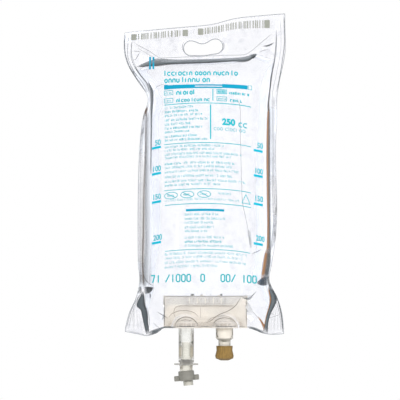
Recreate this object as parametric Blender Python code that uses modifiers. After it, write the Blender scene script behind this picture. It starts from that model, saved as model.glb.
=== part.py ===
"""Clear flexible IV fluid bag, 250 mL, hanging by the slot in its header, with a spike port and an
additive port moulded into the block welded in its lower edge.

Metres, +Z up. The front faces -Y. The origin is the middle of the hanger hole."""

import math

import bmesh
import bpy
from mathutils import Matrix

# Film sheets: flat sizes and weld
film_width = 0.1052  # across the header and across the lower corners
header_rise = 0.0162  # middle of the top edge above the hanger hole
header_slope = 0.072  # the top edge climbs to the right
header_step = 0.0020  # and steps up right of its middle
header_step_place = 0.0120
header_step_run = 0.0090
header_curl = 0.0085  # the left top corner curls back
header_curl_across = 1.6  # powers of the curl, across and up
header_curl_up = 1.4
header_wave = 0.0012  # slight wave of the header, front to back
header_wave_turns = 9.0  # radians over the film's width
film_drop = 0.1839  # hanger hole down to the lower edge
film_thickness = 0.00025
side_weld = 0.0056  # width of the welded strip down each side
bottom_weld = 0.0045
weld_gap = 0.0003  # between the two sheets where they are welded
corner_curl = 0.0045  # the lower corners curl forward
corner_start = 0.86  # share of the height where that begins
strip_turn_limit = 1.1  # steepest turn of the side strips

# Header weld line: flat in the middle, climbing to both sides
weld_line_drop = 0.0062
weld_line_slope = 0.036
weld_line_flat = 0.0275  # half length of the flat stretch
weld_rise_left = 0.0112
weld_rise_right = 0.0160
pocket_drop = 0.0160  # empty corner pockets between that line and the fluid
pocket_start = 0.6  # share of the half width where a pocket begins
fluid_below_weld = 0.0012

# Sag of the lower edge beside the port block: share of the way to the corner, left, right
lower_sag = (
    (0.00, 0.0000, 0.0000),
    (0.08, 0.0014, 0.0002),
    (0.20, 0.0034, 0.0012),
    (0.43, 0.0049, 0.0034),
    (0.69, 0.0037, 0.0041),
    (1.00, 0.0021, 0.0035),
)
# How far the film is drawn in by the filling: share of the height, left, right
side_draw = (
    (0.00, 0.0000, 0.0005),
    (0.09, -0.0006, 0.0002),
    (0.14, 0.0021, 0.0018),
    (0.19, 0.0082, 0.0040),
    (0.245, 0.0150, 0.0056),
    (0.31, 0.0118, 0.0057),
    (0.42, 0.0094, 0.0066),
    (0.60, 0.0085, 0.0057),
    (0.70, 0.0085, 0.0066),
    (0.79, 0.0087, 0.0092),
    (0.845, 0.0096, 0.0107),
    (0.90, 0.0074, 0.0057),
    (0.95, 0.0030, 0.0027),
    (1.00, 0.0004, 0.0016),
)
# How far inside the film's edge the fluid ends: share of the height, left, right
fluid_inset = (
    (0.00, 0.0050, 0.0056),
    (0.14, 0.0044, 0.0058),
    (0.20, 0.0036, 0.0052),
    (0.245, 0.0026, 0.0044),
    (0.40, 0.0040, 0.0037),
    (0.60, 0.0049, 0.0044),
    (0.75, 0.0048, 0.0026),
    (0.845, 0.0034, 0.0026),
    (0.90, 0.0060, 0.0050),
    (0.95, 0.0102, 0.0078),
    (1.00, 0.0134, 0.0108),
)

# Filling: half depth down the bag, as shares of the largest half depth
fluid_half_depth = 0.0166
depth_shares = (
    (0.000, 0.00),
    (0.010, 0.26),
    (0.030, 0.44),
    (0.080, 0.62),
    (0.200, 0.80),
    (0.400, 0.93),
    (0.600, 1.00),
    (0.740, 0.95),
    (0.840, 0.76),
    (0.910, 0.48),
    (0.970, 0.22),
    (1.000, 0.00),
)
side_fullness = 2.2  # power of the section across the bag
side_roundness = 0.60
fluid_gap = 0.0003  # between the filling and each sheet

# Hanger hole, bean shaped
hole_offset = -0.0014  # the hole is punched left of the middle of the block
hole_lobe_radius = 0.0047
hole_lobe_spacing = 0.0160
hole_pinch = 0.0026
hole_belly = 0.0006
hole_tilt = math.radians(4.5)  # it climbs to the right as the top edge does
hole_lobe_steps = 12
hole_side_steps = 8

# Port block
block_width = 0.0546
block_height = 0.0216
block_mid_half = 0.0035
block_end_half = 0.0012
block_bow = 2.2  # power of its boat outline
port_spacing = 0.0250
dome_radius = 0.0082
skirt_radius = 0.0125  # low swelling round each dome
skirt_half = 0.0043
recess_width = 0.0386
recess_height = 0.0092
recess_depth = 0.0005
recess_drop = 0.0074  # below the top of the block
rib_count = 5
rib_pitch = 0.0052
rib_width = 0.0009
rib_height = 0.0040
rib_relief = 0.0005
rib_drop = 0.0015  # below the top of the block
nub_places = (-0.0084, -0.0022, 0.0088)
nub_radius = 0.0011
nub_height = 0.0008
channel_radius = 0.0020
socket_depth = 0.0045
film_slack = 0.0005  # film over the plate of the block
dome_slack = 0.0010  # film tented over its domes
film_beside = 0.0025  # how far past the block the film still stands off
film_beside_run = 0.0060
film_above = 0.0010
film_above_run = 0.0040
fit_gap = 0.0003  # between pieces that are pressed or bonded together

# Spike port: clear tube, sleeve with its pierceable end, and twist-off cap
tube_radius = 0.0050
tube_wall = 0.0010
tube_reach = 0.0206  # below the block
sleeve_length = 0.0114  # inside the tube
sleeve_wall = 0.0011
membrane_thickness = 0.0006
ring_thickness = 0.0015
ring_step = 0.0007
flange_radius = 0.00785
flange_thickness = 0.0009
neck_radius = 0.00425
neck_length = 0.0057
neck_in_cap = 0.0018
cap_radius = 0.0052
cap_depth = 0.0066
cap_clearance = 0.0004
cap_edge = 0.0004  # chamfer of its rim
cap_foot_share = 0.28  # rounding of its foot, as a share of its radius
tip_radius = 0.0032
tip_length = 0.0030
tip_offset = 0.0008
wing_span = 0.0163
wing_height = 0.0035
wing_thickness = 0.0019
wing_edge = 0.0005
wing_rise = 0.0002  # above the foot of the cap
cap_tilt = math.radians(5.0)

# Additive port: stepped body and rubber stopper
body_radius = 0.00565
body_wall = 0.0012
body_reach = 0.0067
shoulder_height = 0.0013
shoulder_inset = 0.0004
body_neck_radius = 0.00395
body_neck_wall = 0.0012
neck_show = 0.0036  # neck seen between body and stopper
neck_in_stopper = 0.0058
stopper_top_radius = 0.0054
stopper_waist_radius = 0.0052
stopper_waist = 0.0029
stopper_wide_radius = 0.00605
stopper_length = 0.0095
stopper_crown = 0.0013
stopper_band = 0.0017  # from its widest place down to the crown
stopper_edge = 0.0003
target_radius = 0.0026
plug_length = 0.0036

# Fineness of the meshes
fluid_column_count = 22
margin_column_count = 2
header_row_count = 3
pocket_row_count = 1
fluid_row_count = 22
weld_row_count = 2
fluid_row_even = 0.35  # share of even spacing; the rest crowds toward both ends
fluid_column_even = 0.5
turn_steps = 28
small_turn_steps = 16
nub_turn_steps = 12

# Cutters
cutter_reach = 0.030  # how far a cutter runs past what it cuts

collection_name = "iv_fluid_bag"


def clear_scene():
    for thing in list(bpy.data.objects):
        bpy.data.objects.remove(thing, do_unlink=True)


def new_collection(name):
    group = bpy.data.collections.new(name)
    bpy.context.scene.collection.children.link(group)
    return group


def plastic(name, colour, roughness, alpha=1.0):
    finish = bpy.data.materials.new(name)
    finish.use_nodes = True
    shader = finish.node_tree.nodes["Principled BSDF"]
    shader.inputs["Base Color"].default_value = (*colour, 1.0)
    shader.inputs["Roughness"].default_value = roughness
    shader.inputs["Metallic"].default_value = 0.0
    shader.inputs["Alpha"].default_value = alpha
    finish.diffuse_color = (*colour, alpha)
    return finish


def add_object(name, mesh, group, finish=None):
    thing = bpy.data.objects.new(name, mesh)
    group.objects.link(thing)
    if finish:
        mesh.materials.append(finish)
    return thing


def as_cutter(thing):
    thing.hide_render = True
    thing.display_type = "WIRE"
    return thing


def combine(thing, other, operation):
    """Boolean of another solid on this one; the other becomes a hidden guide."""
    step = thing.modifiers.new(operation.title() + " " + other.name, "BOOLEAN")
    step.operation = operation
    step.object = other
    as_cutter(other)


def smooth_shade(thing, angle=35.0):
    thing.data.shade_smooth()
    thing.data.set_sharp_from_angle(angle=math.radians(angle))


# Curves that the film follows


def through(stations, place, column=1):
    """Smooth value at a place, through stations of (place, value, ...)."""
    last = len(stations) - 1
    if place <= stations[0][0]:
        return stations[0][column]
    if place >= stations[last][0]:
        return stations[last][column]
    k = max(i for i in range(last) if stations[i][0] <= place)
    x0, x1 = stations[k][0], stations[k + 1][0]
    y0, y1 = stations[k][column], stations[k + 1][column]

    def slope(i):
        low, high = max(i - 1, 0), min(i + 1, last)
        return (stations[high][column] - stations[low][column]) / (stations[high][0] - stations[low][0])

    t = (place - x0) / (x1 - x0)
    span = x1 - x0
    rise0 = slope(k) * span
    rise1 = slope(k + 1) * span
    return (
        (2 * t**3 - 3 * t**2 + 1) * y0
        + (t**3 - 2 * t**2 + t) * rise0
        + (3 * t**2 - 2 * t**3) * y1
        + (t**3 - t**2) * rise1
    )


def ease(t):
    t = min(max(t, 0.0), 1.0)
    return t * t * (3 - 2 * t)


def height_share(z):
    return (header_rise - z) / (header_rise + film_drop)


def film_edge(z, side):
    """The film's side edge at a height; side is -1 at the left and 1 at the right."""
    draw = through(side_draw, height_share(z), 1 if side < 0 else 2)
    return side * (film_width / 2 - draw)


def fluid_edge(z, side):
    inset = through(fluid_inset, height_share(z), 1 if side < 0 else 2)
    return film_edge(z, side) - side * inset


def top_edge(x):
    step = math.tanh((x - header_step_place) / header_step_run)
    return header_rise + header_slope * x + header_step * step


def weld_line(x):
    """Lower edge of the header weld, which climbs to both sides."""
    rise = weld_rise_left if x < 0 else weld_rise_right
    run = film_width / 2 - side_weld - weld_line_flat
    climb = min(max((abs(x) - weld_line_flat) / run, 0.0), 1.0)
    return -weld_line_drop + weld_line_slope * x + rise * climb


def fluid_top(x):
    """Upper edge of the filling, just below the weld and lower in the corners."""
    half = film_width / 2 - side_weld
    corner = ease((abs(x) / half - pocket_start) / (1 - pocket_start))
    return weld_line(x) - fluid_below_weld - pocket_drop * corner


def bottom_edge(x):
    """Lower edge: level at the port block, lower beside it, and up again at the corners."""
    beside = (abs(x) - block_width / 2) / (film_width / 2 - block_width / 2)
    return -film_drop - through(lower_sag, beside, 1 if x < 0 else 2)


def fluid_bottom(x):
    return bottom_edge(x) + bottom_weld


def block_half(x):
    share = min(abs(x) / (block_width / 2), 1.0)
    return block_end_half + (block_mid_half - block_end_half) * (1 - share**block_bow)


def over_block(x, z):
    """Half depth that the film needs to pass over the block and its domes."""
    beyond = (abs(x) - block_width / 2 - film_beside) / film_beside_run
    above = (z + film_drop - block_height - film_above) / film_above_run
    fade = (1 - ease(beyond)) * (1 - ease(above))
    half = (block_half(x) + rib_relief + film_slack) * fade
    for port in (-port_spacing / 2, port_spacing / 2):
        away = math.hypot(x - port, z + film_drop) / (skirt_radius + dome_slack)
        tent = (dome_radius + dome_slack) * math.cos(min(away, 1.0) * math.pi / 2)
        half = max(half, tent)
    return half


def section_share(across):
    return max(1 - abs(across) ** side_fullness, 0.0) ** side_roundness


def filled_half(across, down):
    """Half depth of the filling; across runs -1 to 1 and down runs 0 to 1."""
    return fluid_half_depth * through(depth_shares, down) * section_share(across)


def strip_bend(z, side, outward):
    """The side strips turn back where the filling draws them in."""
    seen = abs(film_edge(z, side) - fluid_edge(z, side))
    turned = math.sqrt(max(side_weld**2 - seen**2, 0.0))
    return min(turned, strip_turn_limit * seen) * outward


def sheet_middle(x, z, across, side_out):
    """Where the two sheets lie when nothing parts them, as a depth along Y."""
    middle = 0.0
    line = weld_line(x)
    if z > line:
        climb = (z - line) / (top_edge(x) - line)
        left = max(-x / (film_width / 2), 0.0)
        middle += header_curl * left**header_curl_across * climb**header_curl_up
        middle += header_wave * math.sin(header_wave_turns * x / film_width) * climb
    if side_out > 0:
        middle += strip_bend(z, across, side_out)
        lower = ease((height_share(z) - corner_start) / (1 - corner_start))
        middle -= corner_curl * side_out * lower
    return middle


# The shared grid of both sheets and the filling


def column_place(i):
    """Column i as (across, side_out): across the filling, or out into the side strips."""
    if i < margin_column_count:
        return -1.0, 1.0 - i / margin_column_count
    if i > margin_column_count + fluid_column_count:
        return 1.0, (i - margin_column_count - fluid_column_count) / margin_column_count
    t = (i - margin_column_count) / fluid_column_count
    even = 2 * t - 1
    crowded = -math.cos(math.pi * t)
    return crowded + (even - crowded) * fluid_column_even, 0.0


def row_share(j):
    """Row j as (band, share of it): header, pocket, filling or lower weld."""
    for band, rows in (("header", header_row_count), ("pocket", pocket_row_count)):
        if j < rows:
            return band, j / rows
        j -= rows
    if j < fluid_row_count:
        t = j / fluid_row_count
        crowded = (1 - math.cos(math.pi * t)) / 2
        return "fluid", crowded + (t - crowded) * fluid_row_even
    return "weld", (j - fluid_row_count) / weld_row_count


def row_height(x, band, share):
    levels = {
        "header": (top_edge, weld_line),
        "pocket": (weld_line, fluid_top),
        "fluid": (fluid_top, fluid_bottom),
        "weld": (fluid_bottom, bottom_edge),
    }
    upper, lower = levels[band]
    return upper(x) + (lower(x) - upper(x)) * share


def grid_point(i, j):
    """Place of grid point (i, j): x, z, the sheets' middle and the filling's half depth."""
    across, side_out = column_place(i)
    band, share = row_share(j)
    x = film_width / 2 * across
    for _ in range(6):
        z = row_height(x, band, share)
        left, right = fluid_edge(z, -1), fluid_edge(z, 1)
        x = (left + right) / 2 + (right - left) / 2 * across
        if side_out > 0:
            x += (film_edge(z, across) - x) * side_out
    down = share if band == "fluid" else 0.0
    half = 0.0 if side_out > 0 else filled_half(across, down)
    return x, z, sheet_middle(x, z, across, side_out), half


all_columns = fluid_column_count + 2 * margin_column_count
all_rows = header_row_count + pocket_row_count + fluid_row_count + weld_row_count
first_fluid_row = header_row_count + pocket_row_count


def flat_grid(name, columns, rows):
    """A grid primitive, returned with its points listed column by column."""
    mesh = bpy.data.meshes.new(name)
    shape = bmesh.new()
    bmesh.ops.create_grid(shape, x_segments=columns, y_segments=rows, size=1.0)
    points = sorted(shape.verts, key=lambda v: (round(v.co.x, 5), -round(v.co.y, 5)))
    return mesh, shape, points


def make_sheet(name, side, group, finish, hole):
    """One film sheet; side is -1 for the front and 1 for the back."""
    mesh, shape, points = flat_grid(name, all_columns, all_rows)
    for index, point in enumerate(points):
        i, j = divmod(index, all_rows + 1)
        x, z, middle, half = grid_point(i, j)
        half = max(half, over_block(x, z))
        point.co = (x, middle + side * (half + weld_gap / 2), z)
    bmesh.ops.recalc_face_normals(shape, faces=shape.faces)
    if sum(face.normal.y for face in shape.faces) * side < 0:
        bmesh.ops.reverse_faces(shape, faces=shape.faces)
    shape.to_mesh(mesh)
    shape.free()
    sheet = add_object(name, mesh, group, finish)
    wall = sheet.modifiers.new("Film thickness", "SOLIDIFY")
    wall.thickness = film_thickness
    wall.offset = 1.0
    cut = sheet.modifiers.new("Hanger hole", "BOOLEAN")
    cut.operation = "DIFFERENCE"
    cut.object = hole
    smooth_shade(sheet)
    return sheet


def make_filling(group, guides, finish):
    """The fluid: a front and a back grid that share their rim, open around the block."""
    shape = bmesh.new()
    for side in (-1, 1):
        mesh, half_shape, points = flat_grid("half filling", fluid_column_count, fluid_row_count)
        for index, point in enumerate(points):
            i, j = divmod(index, fluid_row_count + 1)
            x, z, middle, half = grid_point(i + margin_column_count, j + first_fluid_row)
            if j == fluid_row_count:
                z, half = fluid_bottom(x), 0.0
            share = 1 - fluid_gap / fluid_half_depth
            point.co = (x, middle + side * half * share, z)
        half_shape.to_mesh(mesh)
        half_shape.free()
        shape.from_mesh(mesh)
        bpy.data.meshes.remove(mesh)
    bmesh.ops.remove_doubles(shape, verts=shape.verts, dist=0.00001)
    bmesh.ops.recalc_face_normals(shape, faces=shape.faces)
    mesh = bpy.data.meshes.new("saline_fill")
    shape.to_mesh(mesh)
    shape.free()
    filling = add_object("saline_fill", mesh, group, finish)
    room = box_object(
        "Room for the block",
        (block_width + 4 * fit_gap, 4 * fluid_half_depth, 2 * block_height),
        (0, 0, -film_drop + nub_height + 2 * fit_gap),
        guides,
    )
    combine(filling, room, "DIFFERENCE")
    smooth_shade(filling)
    return filling


# Simple solids


def box_object(name, size, centre, group, bevel=0.0):
    mesh = bpy.data.meshes.new(name)
    shape = bmesh.new()
    bmesh.ops.create_cube(shape, size=1.0)
    bmesh.ops.scale(shape, vec=size, verts=shape.verts)
    if bevel:
        bmesh.ops.bevel(shape, geom=shape.edges, offset=bevel, segments=2, affect="EDGES", profile=0.5)
    bmesh.ops.translate(shape, vec=centre, verts=shape.verts)
    shape.to_mesh(mesh)
    shape.free()
    return add_object(name, mesh, group)


def cylinder_object(name, radius, depth, centre, group, axis="Z", steps=turn_steps):
    mesh = bpy.data.meshes.new(name)
    shape = bmesh.new()
    turn = Matrix.Rotation(math.radians(90), 4, "X") if axis == "Y" else Matrix.Identity(4)
    bmesh.ops.create_cone(
        shape,
        cap_ends=True,
        segments=steps,
        radius1=radius,
        radius2=radius,
        depth=depth,
        matrix=Matrix.Translation(centre) @ turn,
    )
    shape.to_mesh(mesh)
    shape.free()
    return add_object(name, mesh, group)


def sphere_object(name, radius, centre, group, flatness=1.0):
    mesh = bpy.data.meshes.new(name)
    shape = bmesh.new()
    bmesh.ops.create_uvsphere(shape, u_segments=turn_steps, v_segments=14, radius=radius)
    bmesh.ops.scale(shape, vec=(1, flatness, 1), verts=shape.verts)
    bmesh.ops.translate(shape, vec=centre, verts=shape.verts)
    shape.to_mesh(mesh)
    shape.free()
    return add_object(name, mesh, group)


def outline_object(name, points, depth, group, turn=None):
    """A flat outline as a filled 2D curve, given its depth and made a mesh."""
    curve = bpy.data.curves.new(name, "CURVE")
    curve.dimensions = "2D"
    curve.fill_mode = "BOTH"
    curve.extrude = depth / 2
    line = curve.splines.new("POLY")
    line.points.add(len(points) - 1)
    for spot, (across, up) in zip(line.points, points):
        spot.co = (across, up, 0, 1)
    line.use_cyclic_u = True
    drawn = bpy.data.objects.new(name + " outline", curve)
    group.objects.link(drawn)
    if turn:
        drawn.matrix_world = turn
    bpy.context.view_layer.update()
    seen = drawn.evaluated_get(bpy.context.evaluated_depsgraph_get())
    mesh = bpy.data.meshes.new_from_object(seen)
    shape = bmesh.new()
    shape.from_mesh(mesh)
    bmesh.ops.remove_doubles(shape, verts=shape.verts, dist=0.000001)
    bmesh.ops.recalc_face_normals(shape, faces=shape.faces)
    shape.to_mesh(mesh)
    shape.free()
    solid = add_object(name, mesh, group)
    solid.matrix_world = drawn.matrix_world.copy()
    bpy.data.objects.remove(drawn, do_unlink=True)
    return solid


def turned_object(name, profile, x, group, finish, closed=False):
    """A profile of (radius, height) spun about the vertical axis at x."""
    mesh = bpy.data.meshes.new(name)
    shape = bmesh.new()
    spots = [shape.verts.new((radius, 0, height)) for radius, height in profile]
    for here, there in zip(spots, spots[1:]):
        shape.edges.new((here, there))
    if closed:
        shape.edges.new((spots[-1], spots[0]))
    shape.to_mesh(mesh)
    shape.free()
    solid = add_object(name, mesh, group, finish)
    solid.location = (x, 0, 0)
    spin = solid.modifiers.new("Turned about its axis", "SCREW")
    spin.axis = "Z"
    spin.steps = turn_steps
    spin.render_steps = turn_steps
    spin.use_merge_vertices = True
    spin.merge_threshold = 0.00001
    smooth_shade(solid)
    return solid


# The pieces


def hole_outline():
    """Bean outline of the hanger hole: two round lobes, pinched above and full below."""
    half = hole_lobe_spacing / 2
    points = []
    for k in range(hole_lobe_steps + 1):
        turn = math.pi * (k / hole_lobe_steps - 0.5)
        points.append((half + hole_lobe_radius * math.cos(turn), hole_lobe_radius * math.sin(turn)))
    for k in range(1, hole_side_steps):
        x = half - 2 * half * k / hole_side_steps
        points.append((x, hole_lobe_radius - hole_pinch * (1 + math.cos(math.pi * x / half)) / 2))
    for k in range(hole_lobe_steps + 1):
        turn = math.pi * (k / hole_lobe_steps + 0.5)
        points.append((-half + hole_lobe_radius * math.cos(turn), hole_lobe_radius * math.sin(turn)))
    for k in range(1, hole_side_steps):
        x = -half + 2 * half * k / hole_side_steps
        points.append((x, -hole_lobe_radius - hole_belly * (1 + math.cos(math.pi * x / half)) / 2))
    return points


def make_hole_cutter(guides):
    upright = Matrix.Rotation(math.radians(90), 4, "X")
    turn = Matrix.Translation((hole_offset, 0, 0)) @ Matrix.Rotation(-hole_tilt, 4, "Y") @ upright
    return as_cutter(outline_object("Hanger hole cutter", hole_outline(), cutter_reach, guides, turn))


def block_outline():
    """Boat outline seen from above: thick in the middle, thin at both ends."""
    count = 12
    places = [block_width * (k / count - 0.5) for k in range(count + 1)]
    front = [(x, -block_half(x)) for x in places]
    back = [(x, block_half(x)) for x in reversed(places)]
    return front + back


def recess_outline(side):
    """Strip along one face of the block, seen from above, that leaves a shallow recess."""
    count = 8
    places = [recess_width * (k / count - 0.5) for k in range(count + 1)]
    floor = [(x, side * (block_half(x) - recess_depth)) for x in places]
    outside = [(x, side * (block_half(x) + block_mid_half)) for x in reversed(places)]
    return floor + outside


def make_block(group, guides, finish):
    top = block_height - film_drop
    middle = top - block_height / 2
    rise = Matrix.Translation((0, 0, middle))
    block = outline_object("port_block", block_outline(), block_height, group, rise)
    block.data.materials.append(finish)
    low = Matrix.Translation((0, 0, top - recess_drop - recess_height / 2))
    for side in (-1, 1):
        recess = outline_object("Recess", recess_outline(side), recess_height, guides, low)
        combine(block, recess, "DIFFERENCE")
    for port in (-port_spacing / 2, port_spacing / 2):
        middle_point = (port, 0, -film_drop)
        skirt = sphere_object("Skirt", skirt_radius, middle_point, guides, skirt_half / skirt_radius)
        combine(block, skirt, "UNION")
        dome = sphere_object("Dome", dome_radius, middle_point, guides)
        combine(block, dome, "UNION")
    for k in range(rib_count):
        x = rib_pitch * (k - (rib_count - 1) / 2)
        depth = 2 * (block_half(x) + rib_relief)
        rib = box_object(
            "Rib", (rib_width, depth, rib_height), (x, 0, top - rib_drop - rib_height / 2), guides
        )
        combine(block, rib, "UNION")
    for x in nub_places:
        nub = cylinder_object(
            "Nub", nub_radius, 2 * nub_height, (x, 0, top), guides, steps=nub_turn_steps
        )
        combine(block, nub, "UNION")
    below = box_object(
        "Below the block",
        (2 * block_width, cutter_reach, cutter_reach),
        (0, 0, -film_drop - cutter_reach / 2),
        guides,
    )
    combine(block, below, "DIFFERENCE")
    for port, radius in ((-port_spacing / 2, tube_radius), (port_spacing / 2, body_radius)):
        socket = cylinder_object(
            "Socket", radius + fit_gap, 2 * socket_depth, (port, 0, -film_drop), guides
        )
        combine(block, socket, "DIFFERENCE")
        channel = cylinder_object(
            "Channel",
            channel_radius,
            3 * block_height,
            (port, 0, -film_drop),
            guides,
            steps=small_turn_steps,
        )
        combine(block, channel, "DIFFERENCE")
    smooth_shade(block)
    return block


def make_spike_port(group, guides, clear_finish, grey_finish):
    x = -port_spacing / 2
    top = -film_drop + socket_depth - fit_gap
    end = -film_drop - tube_reach
    bore = tube_radius - tube_wall
    wall = [(tube_radius, top), (tube_radius, end), (bore, end), (bore, top)]
    turned_object("spike_port_tube", wall, x, group, clear_finish, closed=True)

    sleeve_radius = bore - fit_gap
    sleeve_bore = sleeve_radius - sleeve_wall
    start = end + sleeve_length
    ring_top = end - fit_gap
    ring_end = ring_top - ring_thickness
    flange_top = ring_end - ring_step
    flange_end = flange_top - flange_thickness
    mouth = flange_end - neck_length
    sleeve = [
        (0, start),
        (sleeve_radius, start),
        (sleeve_radius, ring_top),
        (tube_radius, ring_top),
        (tube_radius, ring_end),
        (neck_radius, ring_end),
        (neck_radius, flange_top),
        (flange_radius, flange_top),
        (flange_radius, flange_end),
        (neck_radius, flange_end),
        (neck_radius, mouth),
        (sleeve_bore, mouth),
        (sleeve_bore, start - membrane_thickness),
        (0, start - membrane_thickness),
    ]
    turned_object("spike_sleeve", sleeve, x, group, grey_finish)
    make_cap(x, mouth, group, guides, grey_finish)


def make_cap(x, mouth, group, guides, finish):
    """Twist-off cap: a cup over the neck's end, two wings and an off-centre tip."""
    rim = mouth + neck_in_cap
    base = rim - cap_depth
    cavity = mouth - cap_clearance
    room = neck_radius + cap_clearance
    foot = cap_radius * cap_foot_share
    bend = foot * (1 - math.sqrt(0.5))
    cup = [
        (0, cavity),
        (room, cavity),
        (room, rim),
        (cap_radius - cap_edge, rim),
        (cap_radius, rim - cap_edge),
        (cap_radius, base + foot),
        (cap_radius - bend, base + bend),
        (cap_radius - foot, base),
        (0, base),
    ]
    cap = turned_object("twist_off_cap", [(r, z - mouth) for r, z in cup], x, group, finish)
    cap.location.z = mouth
    wing = box_object(
        "Wings",
        (wing_span, wing_thickness, wing_height),
        (x, 0, base + wing_height / 2 + wing_rise),
        guides,
        bevel=wing_edge,
    )
    hollow = cylinder_object(
        "Room for the neck", room, cutter_reach, (x, 0, cavity + cutter_reach / 2), guides
    )
    tip = cylinder_object(
        "Tip", tip_radius, 2 * tip_length, (x + tip_offset, 0, base), guides
    )
    combine(cap, wing, "UNION")
    combine(cap, tip, "UNION")
    combine(cap, hollow, "DIFFERENCE")
    lean = Matrix.Translation((x, 0, mouth)) @ Matrix.Rotation(-cap_tilt, 4, "Y")
    back = Matrix.Translation((-x, 0, -mouth))
    for thing in (cap, wing, tip, hollow):
        thing.matrix_world = lean @ back @ Matrix.Translation(thing.location)


def make_additive_port(group, body_finish, rubber_finish):
    x = port_spacing / 2
    top = -film_drop + socket_depth - fit_gap
    shoulder = -film_drop - body_reach
    neck_top = shoulder - shoulder_height
    stopper_top = neck_top - neck_show
    neck_end = stopper_top - neck_in_stopper
    body_bore = body_radius - body_wall
    neck_bore = body_neck_radius - body_neck_wall
    body = [
        (body_radius, top),
        (body_radius, shoulder),
        (body_neck_radius, neck_top),
        (body_neck_radius, neck_end),
        (neck_bore, neck_end),
        (neck_bore, neck_top),
        (body_bore, shoulder + shoulder_inset),
        (body_bore, top),
    ]
    turned_object("additive_port_body", body, x, group, body_finish, closed=True)

    stopper_end = stopper_top - stopper_length
    widest = stopper_end + stopper_crown + stopper_band
    plug_radius = neck_bore - fit_gap
    groove = body_neck_radius + fit_gap
    stopper = [
        (0, neck_end + plug_length),
        (plug_radius, neck_end + plug_length),
        (plug_radius, neck_end - fit_gap),
        (groove, neck_end - fit_gap),
        (groove, stopper_top),
        (stopper_top_radius, stopper_top),
        (stopper_waist_radius, stopper_top - stopper_waist),
        (stopper_wide_radius, widest),
        (stopper_wide_radius - stopper_edge, stopper_end + stopper_crown),
        (target_radius, stopper_end),
        (0, stopper_end),
    ]
    turned_object("rubber_stopper", stopper, x, group, rubber_finish)


def hang_at_origin(group, guides):
    """Parents all to one empty, set so that the hanger hole's middle is the origin."""
    frame = bpy.data.objects.new("hanging_frame", None)
    group.objects.link(frame)
    for thing in list(group.objects) + list(guides.objects):
        if thing is not frame:
            thing.parent = frame
    frame.location = (-hole_offset, 0, 0)


def build():
    clear_scene()
    group = new_collection(collection_name)
    guides = new_collection(collection_name + "_cutters")
    clear_film = plastic("Polyolefin film", (0.90, 0.93, 0.97), 0.12, 0.35)
    saline = plastic("Saline", (0.88, 0.92, 0.98), 0.03, 0.35)
    cream = plastic("Polypropylene block", (0.82, 0.75, 0.65), 0.35)
    clear_tube = plastic("Clear tube", (0.85, 0.84, 0.80), 0.20, 0.60)
    grey = plastic("Polypropylene port", (0.58, 0.58, 0.52), 0.32)
    rubber = plastic("Amber rubber", (0.40, 0.25, 0.07), 0.60)
    hole = make_hole_cutter(guides)
    make_sheet("front_film", -1, group, clear_film, hole)
    make_sheet("back_film", 1, group, clear_film, hole)
    make_filling(group, guides, saline)
    make_block(group, guides, cream)
    make_spike_port(group, guides, clear_tube, grey)
    make_additive_port(group, cream, rubber)
    hang_at_origin(group, guides)


build()
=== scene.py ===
# IV fluid bag, 250 mL: two clear films welded over saline, with a port block and two ports below
import math
import random

import bpy
import numpy as np
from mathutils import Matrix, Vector
from mathutils.bvhtree import BVHTree


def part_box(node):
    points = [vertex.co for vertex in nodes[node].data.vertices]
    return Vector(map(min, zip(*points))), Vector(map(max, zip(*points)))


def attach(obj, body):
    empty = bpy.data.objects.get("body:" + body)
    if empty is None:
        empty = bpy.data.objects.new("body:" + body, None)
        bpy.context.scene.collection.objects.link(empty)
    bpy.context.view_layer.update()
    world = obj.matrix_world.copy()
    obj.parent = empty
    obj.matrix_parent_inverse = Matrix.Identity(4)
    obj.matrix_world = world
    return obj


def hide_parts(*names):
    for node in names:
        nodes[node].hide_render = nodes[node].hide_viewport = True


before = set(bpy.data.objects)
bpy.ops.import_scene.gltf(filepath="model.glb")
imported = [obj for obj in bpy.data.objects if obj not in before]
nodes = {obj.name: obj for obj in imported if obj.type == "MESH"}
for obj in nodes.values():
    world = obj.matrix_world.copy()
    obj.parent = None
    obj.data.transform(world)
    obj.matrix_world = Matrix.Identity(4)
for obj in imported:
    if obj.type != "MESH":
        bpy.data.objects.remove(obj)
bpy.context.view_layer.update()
mm = 0.001

# helpers


def rgb(hexColour):  # sRGB hex to linear
    parts = [int(hexColour[i:i + 2], 16) / 255 for i in (1, 3, 5)]
    return tuple(c / 12.92 if c <= 0.04045 else ((c + 0.055) / 1.055) ** 2.4 for c in parts)


def rgba(hexColour):
    return (*rgb(hexColour), 1.0)


def newMaterial(name):
    made = bpy.data.materials.new(name)
    made.use_nodes = True
    made.node_tree.nodes.clear()
    return made, made.node_tree


def addNode(tree, kind, values=None, links=None, **settings):
    node = tree.nodes.new(kind)
    for key, value in settings.items():
        setattr(node, key, value)
    for key, value in (values or {}).items():
        node.inputs[key].default_value = value
    for key, source in (links or {}).items():
        tree.links.new(source, node.inputs[key])
    return node


def ownMesh(name):  # names the active object and its mesh
    thing = bpy.context.object
    thing.name = name
    thing.data.name = name
    return thing


def selectOnly(thing):
    bpy.ops.object.select_all(action="DESELECT")
    thing.select_set(True)
    bpy.context.view_layer.objects.active = thing


def applyPlace(thing):
    selectOnly(thing)
    bpy.ops.object.transform_apply(location=True, rotation=True, scale=True)


def applyModifiers(thing):
    selectOnly(thing)
    for step in list(thing.modifiers):
        bpy.ops.object.modifier_apply(modifier=step.name)


def finishPiece(thing, material, body, stands=(), angle=40):
    thing.data.materials.clear()
    thing.data.materials.append(material)
    selectOnly(thing)
    bpy.ops.object.shade_smooth_by_angle(angle=math.radians(angle))
    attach(thing, body)
    if stands:
        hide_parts(*stands)
    return thing


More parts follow.
